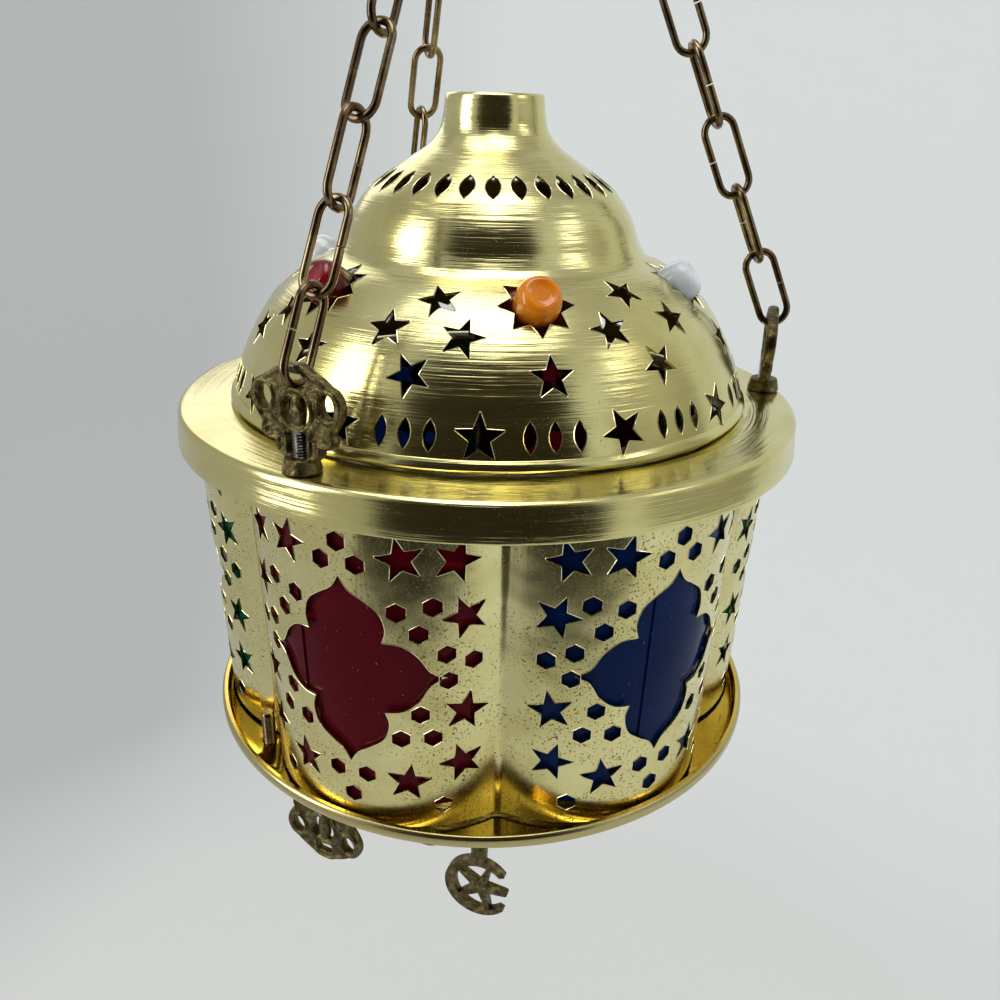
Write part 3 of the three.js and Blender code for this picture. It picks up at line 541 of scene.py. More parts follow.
@dataclass
class Press:
    """Punches for a sheet and the burrs that they raise on its outer skin."""

    blank: Mesh
    burr_step: float = 1.0

    def __post_init__(self) -> None:
        """Starts with no punches."""
        sheet = bmesh.new()
        sheet.from_mesh(self.blank)
        self.skin = BVHTree.FromBMesh(sheet)
        sheet.free()
        self.punches = bmesh.new()
        self.burrs: list[tuple[list[Vector], bool]] = []

    def stamp(self, outline: Outline, place: Matrix, reach: float) -> None:
        """Adds a punch and traces its burr.

        Args:
            outline: The punch's outline.
            place: Its place on the sheet, looking outwards.
            reach: How far it goes to each side of the sheet.
        """
        add_prism(self.punches, outline, place, -reach, reach)
        down = -(place.to_3x3() @ Vector((0, 0, 1)))
        trace = []
        for x, y in dense(outline, self.burr_step):
            hit = self.skin.ray_cast(place @ Vector((x, y, reach)), down, 2 * reach)[0]
            if hit is not None:
                trace.append(hit)
        if len(trace) > 2:
            self.burrs.append((trace, True))

    def sheet(self) -> Mesh:
        """Gives the pierced sheet."""
        return pierced(self.blank, solid_of(self.punches))


# Finishes


class Recipe:
    """A material's nodes while they are laid out."""

    def __init__(self, name: str) -> None:
        """Starts an empty node tree with its output.

        Args:
            name: The material's name.
        """
        self.material = bpy.data.materials.new(name)
        self.material.use_nodes = True
        self.tree = self.material.node_tree
        self.tree.nodes.clear()
        self.end = self.tree.nodes.new("ShaderNodeOutputMaterial")

    def node(self, kind: str, inputs: dict, **settings: object) -> bpy.types.Node:
        """Adds a node.

        Args:
            kind: The node's type without its ShaderNode prefix.
            inputs: Values or sockets by input name or index.
            **settings: The node's own properties.

        Returns:
            The node.
        """
        made = self.tree.nodes.new("ShaderNode" + kind)
        for name, value in settings.items():
            setattr(made, name, value)
        for name, value in inputs.items():
            socket = made.inputs[name]
            if isinstance(value, Socket):
                self.tree.links.new(value, socket)
            else:
                socket.default_value = value
        return made

    def position(self) -> Socket:
        """Gives the piece's own coordinates."""
        return self.node("TexCoord", {}).outputs["Object"]

    def math(self, operation: str, a: object, b: object = 0.0) -> Socket:
        """Gives the result of a sum on two values."""
        return self.node("Math", {0: a, 1: b}, operation=operation).outputs[0]

    def plus(self, a: object, b: object) -> Socket:
        """Adds two values."""
        return self.math("ADD", a, b)

    def times(self, a: object, b: object) -> Socket:
        """Multiplies two values."""
        return self.math("MULTIPLY", a, b)

    def noise(self, vector: object, scale: float, detail: float = 2.0, rough: float = 0.5) -> Socket:
        """Gives a noise from 0 to 1."""
        inputs = {"Vector": vector, "Scale": scale, "Detail": detail, "Roughness": rough}
        return self.node("TexNoise", inputs).outputs[0]

    def span(self, value: object, low: float, high: float, start: float = 0.0, end: float = 1.0) -> Socket:
        """Maps a value's range from low to high onto start to end."""
        return self.node("MapRange", {0: value, 1: low, 2: high, 3: start, 4: end}).outputs[0]

    def blend(self, share: object, a: object, b: object) -> Socket:
        """Gives a colour between two colours."""
        return self.node("Mix", {0: share, 6: a, 7: b}, data_type="RGBA").outputs[2]

    def radius(self) -> Socket:
        """Gives the distance from the lantern's axis.

        Returns:
            The distance in metres.
        """
        parts = self.node("SeparateXYZ", {0: self.position()}).outputs
        squares = [self.times(part, part) for part in parts[:2]]
        return self.math("SQRT", self.plus(*squares))

    def across(self) -> Socket:
        """Gives the distance to the right of the lantern's axis."""
        return self.node("SeparateXYZ", {0: self.position()}).outputs[0]

    def inward(self) -> Socket:
        """Gives 1 where a face looks toward the lantern's axis, and 0 elsewhere.

        Returns:
            The share from 0 to 1.
        """
        level = {0: self.position(), 1: (1.0, 1.0, 0.0)}
        flat = self.node("VectorMath", level, operation="MULTIPLY").outputs[0]
        out = self.node("TexCoord", {}).outputs["Normal"]
        dot = self.node("VectorMath", {0: flat, 1: out}, operation="DOT_PRODUCT")
        return self.span(dot.outputs["Value"], -0.002, -0.006)

    def rings(self, length: float, pitch: float) -> Socket:
        """Gives coordinates that change fast across the turned rings and slowly along them.

        Args:
            length: How long a streak is, in metres.
            pitch: How far apart the rings are, in metres.

        Returns:
            The coordinates.
        """
        parts = self.node("SeparateXYZ", {0: self.position()}).outputs
        across = self.math("DIVIDE", self.math("SUBTRACT", parts[2], self.radius()), pitch)
        along = [self.math("DIVIDE", part, length) for part in parts[:2]]
        return self.node("CombineXYZ", {0: along[0], 1: along[1], 2: across}).outputs[0]

    def stretched(self, sizes: tuple[float, float, float]) -> Socket:
        """Gives coordinates stretched so that marks have these sizes in metres."""
        scale = tuple(1 / size for size in sizes)
        return self.node("Mapping", {"Vector": self.position(), "Scale": scale}).outputs[0]

    def bump(self, height: Socket, strength: float, distance: float, under: object = None) -> Socket:
        """Gives a surface direction with a height laid over another one.

        Args:
            height: The height that shades the surface.
            strength: How strongly it does.
            distance: The height's depth in metres.
            under: The direction that it is laid over, if there is one.

        Returns:
            The direction.
        """
        inputs = {"Height": height, "Strength": strength, "Distance": distance}
        if under is not None:
            inputs["Normal"] = under
        return self.node("Bump", inputs).outputs[0]

    def surface(self, inputs: dict) -> None:
        """Ends the recipe in one shader with these inputs."""
        shader = self.node("BsdfPrincipled", inputs)
        self.tree.links.new(shader.outputs[0], self.end.inputs["Surface"])

    def metal(self, colour: Socket, gloss: Socket, normal: Socket) -> None:
        """Ends the recipe in a bare metal."""
        self.surface({"Base Color": colour, "Metallic": 1.0, "Roughness": gloss, "Normal": normal})

    def clear(self, colour: Socket, gloss: Socket, normal: Socket, share: float, bend: float) -> None:
        """Ends the recipe in something that lets a share of the light through and bends it."""
        inputs = {"Base Color": colour, "Roughness": gloss, "Normal": normal}
        self.surface({**inputs, "Transmission Weight": share, "IOR": bend})


def tone(red: float, green: float, blue: float) -> tuple[float, float, float, float]:
    """Gives an opaque colour."""
    return (red, green, blue, 1.0)


@dataclass(frozen=True)
class Finish:
    """A named finish, whose material is mixed once."""

    name: str

    def material(self) -> bpy.types.Material:
        """Gives the finish's material.

        Returns:
            The material, mixed at the first call.
        """
        kept = bpy.data.materials.get("finish_" + self.name)
        if kept is None:
            recipe = Recipe("finish_" + self.name)
            self.mix(recipe)
            kept = recipe.material
        return kept

    def mix(self, recipe: Recipe) -> None:
        """Lays out the finish's nodes."""
        raise NotImplementedError


@dataclass(frozen=True)
class SpunBrass(Finish):
    """Thin bright brass turned on a lathe, with fine rings, clouds of tarnish, specks and painted shade on
    the faces inside.
    """

    light: tuple = tone(0.77, 0.70, 0.33)
    deep: tuple = tone(0.62, 0.54, 0.20)
    tarnish: tuple = tone(0.13, 0.08, 0.03)
    # Painted shade for the faces that look toward the lantern's axis
    inside: tuple = tone(0.12, 0.08, 0.03)
    smooth: float = 0.115
    dull: float = 0.215
    pitch: float = 0.0010
    groove: float = 0.85
    specks: float = 0.68

    def mix(self, recipe: Recipe) -> None:
        """Lays out rings for bump and gloss, clouds for colour, specks in patches and painted shade on the
        inner faces.

        Args:
            recipe: The recipe that takes the nodes.
        """
        here = recipe.position()
        fine = recipe.noise(recipe.rings(0.05, self.pitch), 1.0, 3.0, 0.62)
        bands = recipe.noise(recipe.rings(0.11, self.pitch * 7), 1.0, 2.0)
        clouds = recipe.noise(here, 34.0, 4.0, 0.6)
        colour = recipe.blend(recipe.span(clouds, 0.35, 0.7), self.light, self.deep)
        patches = recipe.span(recipe.noise(here, 48.0, 3.0), 0.42, 0.62)
        dots = recipe.span(recipe.noise(here, 2100.0, 2.0), self.specks, self.specks + 0.05)
        spots = recipe.times(patches, dots)
        colour = recipe.blend(recipe.times(spots, 0.85), colour, self.tarnish)
        # Painted shade: faces that look toward the axis are darkened and made duller
        hidden = recipe.inward()
        colour = recipe.blend(recipe.times(hidden, 0.9), colour, self.inside)
        worn = recipe.plus(recipe.times(bands, 0.6), recipe.times(clouds, 0.4))
        gloss = recipe.span(worn, 0.35, 0.68, self.smooth, self.dull)
        gloss = recipe.plus(gloss, recipe.times(spots, 0.3))
        gloss = recipe.plus(gloss, recipe.times(hidden, 0.3))
        lines = recipe.bump(fine, self.groove, 0.00018)
        recipe.metal(colour, gloss, recipe.bump(bands, 0.40, 0.0007, lines))


@dataclass(frozen=True)
class SheetBrass(Finish):
    """Rolled brass sheet with a satin face, specks, faint scratches and soft dents."""

    light: tuple = tone(0.80, 0.73, 0.37)
    deep: tuple = tone(0.68, 0.59, 0.24)
    tarnish: tuple = tone(0.14, 0.09, 0.035)
    smooth: float = 0.15
    dull: float = 0.27

    def mix(self, recipe: Recipe) -> None:
        """Lays out the rolling grain, clouds, specks, scratches and dents.

        Args:
            recipe: The recipe that takes the nodes.
        """
        here = recipe.position()
        grain = recipe.noise(recipe.stretched((0.0007, 0.0007, 0.03)), 1.0, 3.0, 0.6)
        clouds = recipe.noise(here, 40.0, 4.0, 0.62)
        colour = recipe.blend(recipe.span(clouds, 0.36, 0.68), self.light, self.deep)
        patches = recipe.span(recipe.noise(here, 70.0, 3.0), 0.38, 0.56)
        dots = recipe.span(recipe.noise(here, 1500.0, 2.0), 0.59, 0.65)
        spots = recipe.times(patches, dots)
        colour = recipe.blend(recipe.times(spots, 0.8), colour, self.tarnish)
        scratch = recipe.noise(recipe.stretched((0.0006, 0.0006, 0.022)), 1.0, 1.0)
        marks = recipe.times(recipe.span(scratch, 0.74, 0.78), 0.6)
        gloss = recipe.span(clouds, 0.35, 0.7, self.smooth, self.dull)
        gloss = recipe.plus(gloss, recipe.times(spots, 0.25))
        relief = recipe.bump(recipe.math("SUBTRACT", grain, marks), 0.16, 0.00012)
        dents = recipe.bump(recipe.noise(here, 55.0, 2.0), 0.32, 0.0012, relief)
        recipe.metal(colour, gloss, dents)


@dataclass(frozen=True)
class PolishedGold(Finish):
    """Gold coloured polish of the dish, with turned lines and greasy patches."""

    light: tuple = tone(0.84, 0.61, 0.13)
    deep: tuple = tone(0.62, 0.40, 0.04)
    rim: tuple = tone(0.50, 0.42, 0.19)
    rim_start: float = 0.0848
    rim_full: float = 0.0856
    grease: tuple = tone(0.14, 0.07, 0.02)
    smooth: float = 0.07
    dull: float = 0.17

    def mix(self, recipe: Recipe) -> None:
        """Lays out faint rings, colour clouds and specks.

        Args:
            recipe: The recipe that takes the nodes.
        """
        here = recipe.position()
        fine = recipe.noise(recipe.rings(0.06, 0.0009), 1.0, 2.0)
        clouds = recipe.noise(here, 30.0, 3.0, 0.6)
        colour = recipe.blend(recipe.span(clouds, 0.35, 0.7), self.light, self.deep)
        dots = recipe.span(recipe.noise(here, 620.0, 2.0), 0.68, 0.73)
        colour = recipe.blend(recipe.times(dots, 0.7), colour, self.grease)
        edge = recipe.span(recipe.radius(), self.rim_start, self.rim_full)
        colour = recipe.blend(edge, colour, self.rim)
        gloss = recipe.span(clouds, 0.35, 0.68, self.smooth, self.dull)
        gloss = recipe.plus(gloss, recipe.times(edge, 0.14))
        recipe.metal(colour, gloss, recipe.bump(fine, 0.3, 0.0001))


@dataclass(frozen=True)
class CastBrass(Finish):
    """Rough sand-cast brass, olive brown in the hollows and rubbed bright where it stands out."""

    hollow: tuple = tone(0.055, 0.040, 0.014)
    face: tuple = tone(0.15, 0.118, 0.048)
    rubbed: tuple = tone(0.38, 0.32, 0.14)

    def mix(self, recipe: Recipe) -> None:
        """Lays out pits, mottling and rubbed high spots.

        Args:
            recipe: The recipe that takes the nodes.
        """
        here = recipe.position()
        mottle = recipe.noise(here, 260.0, 4.0, 0.65)
        pits = recipe.noise(here, 1100.0, 3.0, 0.6)
        colour = recipe.blend(recipe.span(mottle, 0.38, 0.62), self.hollow, self.face)
        shine = recipe.span(recipe.noise(here, 420.0, 2.0), 0.52, 0.70)
        colour = recipe.blend(recipe.times(shine, 0.6), colour, self.rubbed)
        gloss = recipe.span(mottle, 0.35, 0.65, 0.32, 0.52)
        relief = recipe.bump(pits, 0.7, 0.0004)
        recipe.metal(colour, gloss, recipe.bump(mottle, 0.7, 0.0009, relief))


@dataclass(frozen=True)
class BronzedWire(Finish):
    """Brown bronzed wire, worn paler along its sides."""

    coat: tuple = tone(0.13, 0.085, 0.045)
    worn: tuple = tone(0.33, 0.25, 0.13)

    def mix(self, recipe: Recipe) -> None:
        """Lays out worn streaks and a fine drawn grain.

        Args:
            recipe: The recipe that takes the nodes.
        """
        here = recipe.position()
        wear = recipe.span(recipe.noise(here, 90.0, 3.0, 0.55), 0.44, 0.66)
        colour = recipe.blend(wear, self.coat, self.worn)
        drawn = recipe.noise(here, 900.0, 3.0)
        gloss = recipe.span(drawn, 0.3, 0.7, 0.18, 0.30)
        recipe.metal(colour, gloss, recipe.bump(drawn, 0.15, 0.0001))


@dataclass(frozen=True)
class Steel(Finish):
    """Plain steel of studs, rods and nuts, with a little dark oil in it."""

    bright: tuple = tone(0.30, 0.29, 0.28)
    oiled: tuple = tone(0.06, 0.055, 0.05)

    def mix(self, recipe: Recipe) -> None:
        """Lays out oil stains over the metal.

        Args:
            recipe: The recipe that takes the nodes.
        """
        stains = recipe.noise(recipe.position(), 500.0, 3.0)
        colour = recipe.blend(recipe.span(stains, 0.4, 0.68), self.bright, self.oiled)
        gloss = recipe.span(stains, 0.3, 0.7, 0.22, 0.4)
        recipe.metal(colour, gloss, recipe.bump(stains, 0.2, 0.0001))


@dataclass(frozen=True)
class Film(Finish):
    """Coloured see-through film with a soft crease or two and dust."""

    dye: tuple
    dark: tuple
    dusty: tuple = tone(0.55, 0.5, 0.5)
    clear: float = 0.55
    bend: float = 1.15

    def mix(self, recipe: Recipe) -> None:
        """Lays out the dye, soft creases and dust.

        Args:
            recipe: The recipe that takes the nodes.
        """
        here = recipe.position()
        depth = recipe.span(recipe.noise(here, 22.0, 3.0), 0.35, 0.7)
        colour = recipe.blend(depth, self.dye, self.dark)
        dust = recipe.span(recipe.noise(here, 1100.0, 1.0), 0.76, 0.80)
        colour = recipe.blend(recipe.times(dust, 0.5), colour, self.dusty)
        gloss = recipe.span(dust, 0.0, 1.0, 0.10, 0.5)
        creases = recipe.bump(recipe.noise(here, 36.0, 1.0), 0.25, 0.002)
        recipe.clear(colour, gloss, creases, self.clear, self.bend)


@dataclass(frozen=True)
class BeadGlass(Finish):
    """Pressed glass of the beads, with swirls of a deeper tone, painted shade toward the foot and a wet
    gloss.
    """

    body: tuple
    swirl: tuple
    # Painted shade for the bead's foot, where it sits in its star
    deep: tuple = tone(0.12, 0.008, 0.002)
    clear: float = 0.0
    bend: float = 1.5

    def mix(self, recipe: Recipe) -> None:
        """Lays out the swirls, the painted shade toward the foot and tiny pits.

        Args:
            recipe: The recipe that takes the nodes.
        """
        here = recipe.position()
        turns = recipe.noise(here, 120.0, 3.0)
        colour = recipe.blend(recipe.span(turns, 0.4, 0.65), self.body, self.swirl)
        # Painted shade: darker toward the bead's foot, broken up by the swirls
        depth = recipe.node("Attribute", {}, attribute_name="depth").outputs["Fac"]
        depth = recipe.plus(depth, recipe.times(turns, 1.5))
        colour = recipe.blend(recipe.span(depth, 5.4, 0.4), colour, self.deep)
        gloss = recipe.span(recipe.noise(here, 700.0, 2.0), 0.4, 0.8, 0.07, 0.16)
        ripples = recipe.bump(recipe.noise(here, 240.0, 1.0), 0.10, 0.0006)
        recipe.clear(colour, gloss, ripples, self.clear, self.bend)


@dataclass(frozen=True)
class StudioPaper(Finish):
    """Seamless paper, paler where it rises, with painted shade darkening it on the left."""

    floor: tuple = tone(0.67, 0.68, 0.66)
    wall: tuple = tone(0.74, 0.77, 0.76)
    # Painted shade for the paper's left side
    shade: tuple = tone(0.50, 0.51, 0.51)
    glow: float = 0.62
    floor_edge: float = 0.55
    wall_edge: float = 0.86

    def mix(self, recipe: Recipe) -> None:
        """Lays out the change of tone, and a share of it that every view sees as it is.

        Args:
            recipe: The recipe that takes the nodes.
        """
        mottle = recipe.times(recipe.noise(recipe.position(), 3.0, 2.0), 0.1)
        out = recipe.plus(recipe.radius(), mottle)
        share = recipe.span(out, self.floor_edge, self.wall_edge)
        # Painted shade: the paper darkens toward the left
        lit = recipe.blend(recipe.span(recipe.across(), -0.42, 0.02), self.shade, self.wall)
        colour = recipe.blend(share, self.floor, lit)
        paths = recipe.node("LightPath", {}).outputs
        seen = recipe.plus(paths["Is Camera Ray"], paths["Is Glossy Ray"])
        seen = recipe.math("MINIMUM", recipe.plus(seen, paths["Is Transmission Ray"]), 1.0)
        matt = recipe.node("BsdfDiffuse", {"Color": colour})
        shown = recipe.node("Emission", {"Color": colour, "Strength": 1.0})
        glow = recipe.times(seen, self.glow)
        mixed = recipe.node("MixShader", {0: glow, 1: matt.outputs[0], 2: shown.outputs[0]})
        recipe.tree.links.new(mixed.outputs[0], recipe.end.inputs["Surface"])


@dataclass(frozen=True)
class Card(Finish):
    """Matt card that only reflections see."""

    shade: tuple

    def mix(self, recipe: Recipe) -> None:
        """Lays out one matt tone.

        Args:
            recipe: The recipe that takes the nodes.
        """
        recipe.surface({"Base Color": self.shade, "Roughness": 0.9, "Specular IOR Level": 0.0})


SPUN = SpunBrass("spun_brass")
# The burrs' near-white tone is a painted glint laid on the real raised edge round each hole
BURR_PAINTED_GLINT = SpunBrass(
    "bright_burr",
    light=tone(0.95, 0.90, 0.55),
    deep=tone(0.85, 0.76, 0.36),
    smooth=0.12,
    dull=0.2,
    groove=0.05,
    specks=0.72,
)
SHEETING = SheetBrass("sheet_brass")
GOLD = PolishedGold("polished_gold")
CAST = CastBrass("cast_brass")
WIRE = BronzedWire("bronzed_wire")
STEEL = Steel("steel")
FILM_DYES = {
    Slot.FILM_RED: (tone(0.16, 0.005, 0.014), tone(0.115, 0.003, 0.010)),
    Slot.FILM_BLUE: (tone(0.004, 0.026, 0.14), tone(0.003, 0.017, 0.095)),
    Slot.FILM_GREEN: (tone(0.003, 0.12, 0.045), tone(0.002, 0.08, 0.03)),
}
# A bead's third tone is painted shade toward its foot; amber keeps the default one
GLASS_TONES = {
    Slot.AMBER: (tone(0.70, 0.24, 0.004), tone(0.58, 0.15, 0.003)),
    Slot.MILKY: (tone(0.66, 0.67, 0.69), tone(0.56, 0.58, 0.61), tone(0.44, 0.46, 0.48)),
    Slot.GREEN: (tone(0.01, 0.30, 0.10), tone(0.008, 0.16, 0.05), tone(0.002, 0.03, 0.01), 0.25),
    Slot.BLUE: (tone(0.02, 0.06, 0.50), tone(0.01, 0.03, 0.28), tone(0.002, 0.006, 0.06), 0.25),
    Slot.RUBY: (tone(0.27, 0.002, 0.008), tone(0.12, 0.001, 0.004), tone(0.02, 0.001, 0.002), 0.15),
}
FILMS = {slot: Film(slot.value, *dyes) for slot, dyes in FILM_DYES.items()}
GLASSES = {slot: BeadGlass(slot.value, *tones) for slot, tones in GLASS_TONES.items()}


# Handing over


@dataclass(frozen=True)
class Ticket:
    """What a finished piece is called, rides on, is finished in and stands for."""

    name: str
    slot: Slot
    finish: Finish
    nodes: tuple[str, ...] = ()
    body: Body = Body.LANTERN
    crease: float = 38.0


def deliver(mesh: Mesh, ticket: Ticket) -> Piece:
    """Brings a mesh to metres and the row frame and makes it a piece of the lantern.

    Args:
        mesh: The piece's mesh, in millimetres from the brim's lower outer corner.
        ticket: Its name, body, finish and the solids it stands for.

    Returns:
        The piece.
    """
    work = bmesh.new()
    work.from_mesh(mesh)
    lift = Matrix.Translation((0, 0, -BEARING * MILLIMETRE))
    bmesh.ops.transform(work, matrix=lift @ Matrix.Scale(MILLIMETRE, 4), verts=work.verts)
    for face in work.faces:
        face.smooth = True
        face.material_index = 0
    limit = math.radians(ticket.crease)
    for edge in work.edges:
        edge.smooth = not (edge.is_manifold and edge.calc_face_angle() > limit)
    work.to_mesh(mesh)
    work.free()
    mesh.name = ticket.name
    mesh.materials.clear()
    mesh.materials.append(ticket.finish.material())
    piece = into_scene(ticket.name, mesh)
    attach(piece, ticket.body.value)
    if ticket.nodes:
        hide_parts(*ticket.nodes)
    LOG.info("%s: %d faces", ticket.name, len(mesh.polygons))
    return piece


def deliver_sheet(press: Press, ticket: Ticket, burrs: str, wire: float = BURR_WIRE) -> None:
    """Makes pieces of a pierced sheet and of the burrs round its openings.

    Args:
        press: The press with its sheet.
        ticket: What the sheet's piece is called and stands for.
        burrs: The name of the burrs' piece.
        wire: The burrs' radius.
    """
    deliver(press.sheet(), ticket)
    deliver(tubes(press.burrs, wire, 1), Ticket(burrs, Slot.BRASS, BURR_PAINTED_GLINT))


# Suspension


@dataclass
class Chain:
    """One chain, from a lug's bar up to the ring."""

    name: str
    azimuth: float
    spread: float
    twist: float


@dataclass
class Suspension:
    """The hook, the ring and three chains of long links."""

    ring_radius: float = 12.5
    ring_wire: float = 3.0
    ring_centre: float = 212.206
    hook_wire: float = 3.5
    hook_upper: float = 250.156
    hook_lower: float = 228.156
    upper_radius: float = 10.0
    lower_radius: float = 7.0
    link_length: float = 24.0
    link_width: float = 10.3
    link_wire: float = 2.0
    split: float = 0.35
    links: int = 10
    straight_links: int = 5
    bar_height: float = 26.0
    lug_seat: float = 3.55
    ring_seat: float = 2.8
    chains: tuple[Chain, ...] = (
        Chain("front", LUG_AZIMUTHS[0], 0.0, -56.0),
        Chain("right", LUG_AZIMUTHS[1], 21.0, 0.0),
        Chain("back", LUG_AZIMUTHS[2], -21.0, 68.0),
    )

    def hook(self) -> None:
        """Bends the hook from round wire with rounded ends."""
        rise = self.hook_upper - self.hook_lower
        lean = math.asin((self.upper_radius + self.lower_radius) / rise)
        bends = (
            (self.hook_upper, self.upper_radius, math.radians(-15), 1.5 * math.pi - lean),
            (self.hook_lower, self.lower_radius, math.pi / 2 - lean, math.radians(-195)),
        )
        line = []
        for centre, radius, start, end in bends:
            line += [Vector((0, y, centre + z)) for y, z in arc(radius, start, end, 32)]
        half = self.hook_wire / 2
        wire = tubes([(line, False)], half, 6)
        work = bmesh.new()
        for end in (line[0], line[-1]):
            place = Matrix.Translation(end)
            bmesh.ops.create_uvsphere(work, u_segments=20, v_segments=12, radius=half, matrix=place)
        ticket = Ticket("hook", Slot.CHAIN, WIRE, ("hanging_hook",), Body.HOOK)
        deliver(joined([wire, mesh_of(work)]), ticket)

    def ring(self) -> None:
        """Bends the ring as one closed loop of round wire."""
        outline = ring_outline(self.ring_radius, 72)
        line = [Vector((x, 0, self.ring_centre + z)) for x, z in outline]
        mesh = tubes([(line, True)], self.ring_wire / 2, 6)
        deliver(mesh, Ticket("ring", Slot.CHAIN, WIRE, ("gather_ring",), Body.RING))

    def link_line(self) -> list[Vector]:
        """Gives a link's line from one side of its split round to the other.

        Returns:
            The line's points, with the link upright.
        """
        bend = (self.link_width - self.link_wire) / 2
        straight = (self.link_length - self.link_wire) / 2 - bend
        line = [Vector((bend, 0, self.split / 2))]
        for side in (1, -1):
            half = arc(bend, 0, math.pi, 12)
            line += [Vector((side * x, 0, side * (straight + z))) for x, z in half]
        line.append(Vector((bend, 0, -self.split / 2)))
        return line

    def places(self, chain: Chain) -> list[Matrix]:
        """Gives each link's place along a chain.

        Args:
            chain: The chain.

        Returns:
            A place for each link, from the lug up.
        """
        low = polar(chain.azimuth, LUG_RADIUS, self.bar_height)
        turn = math.radians(chain.spread)
        across, down = self.ring_radius * math.sin(turn), self.ring_radius * math.cos(turn)
        high = Vector((across, 0, self.ring_centre - down))
        along = (high - low).normalized()
        length = self.link_length - self.link_wire
        span = (high - low).length + self.lug_seat + self.ring_seat - length
        first = length / 2 - self.lug_seat
        sideways = along.cross(polar(chain.azimuth, 1, 0)).normalized()
        lateral = sideways.cross(along).normalized()
        found = []
        for i in range(self.links):
            over = max(0, i - self.straight_links + 1) / (self.links - self.straight_links)
            spin = math.radians(90 * i + chain.twist * over)
            across = lateral * math.cos(spin) + sideways * math.sin(spin)
            basis = Matrix((across, along.cross(across), along)).transposed().to_4x4()
            centre = low + along * (first + i * span / (self.links - 1))
            found.append(Matrix.Translation(centre) @ basis)
        return found

    def build(self) -> None:
        """Builds the hook, the ring and the chains."""
        self.hook()
        self.ring()
        line = self.link_line()
        for chain in self.chains:
            for i, place in enumerate(self.places(chain)):
                mesh = tubes([([place @ point for point in line], False)], self.link_wire / 2, 4)
                name = f"chain_{chain.name}_link_{i + 1}"
                deliver(mesh, Ticket("bent_" + name, Slot.CHAIN, WIRE, (name,)))


# Castings


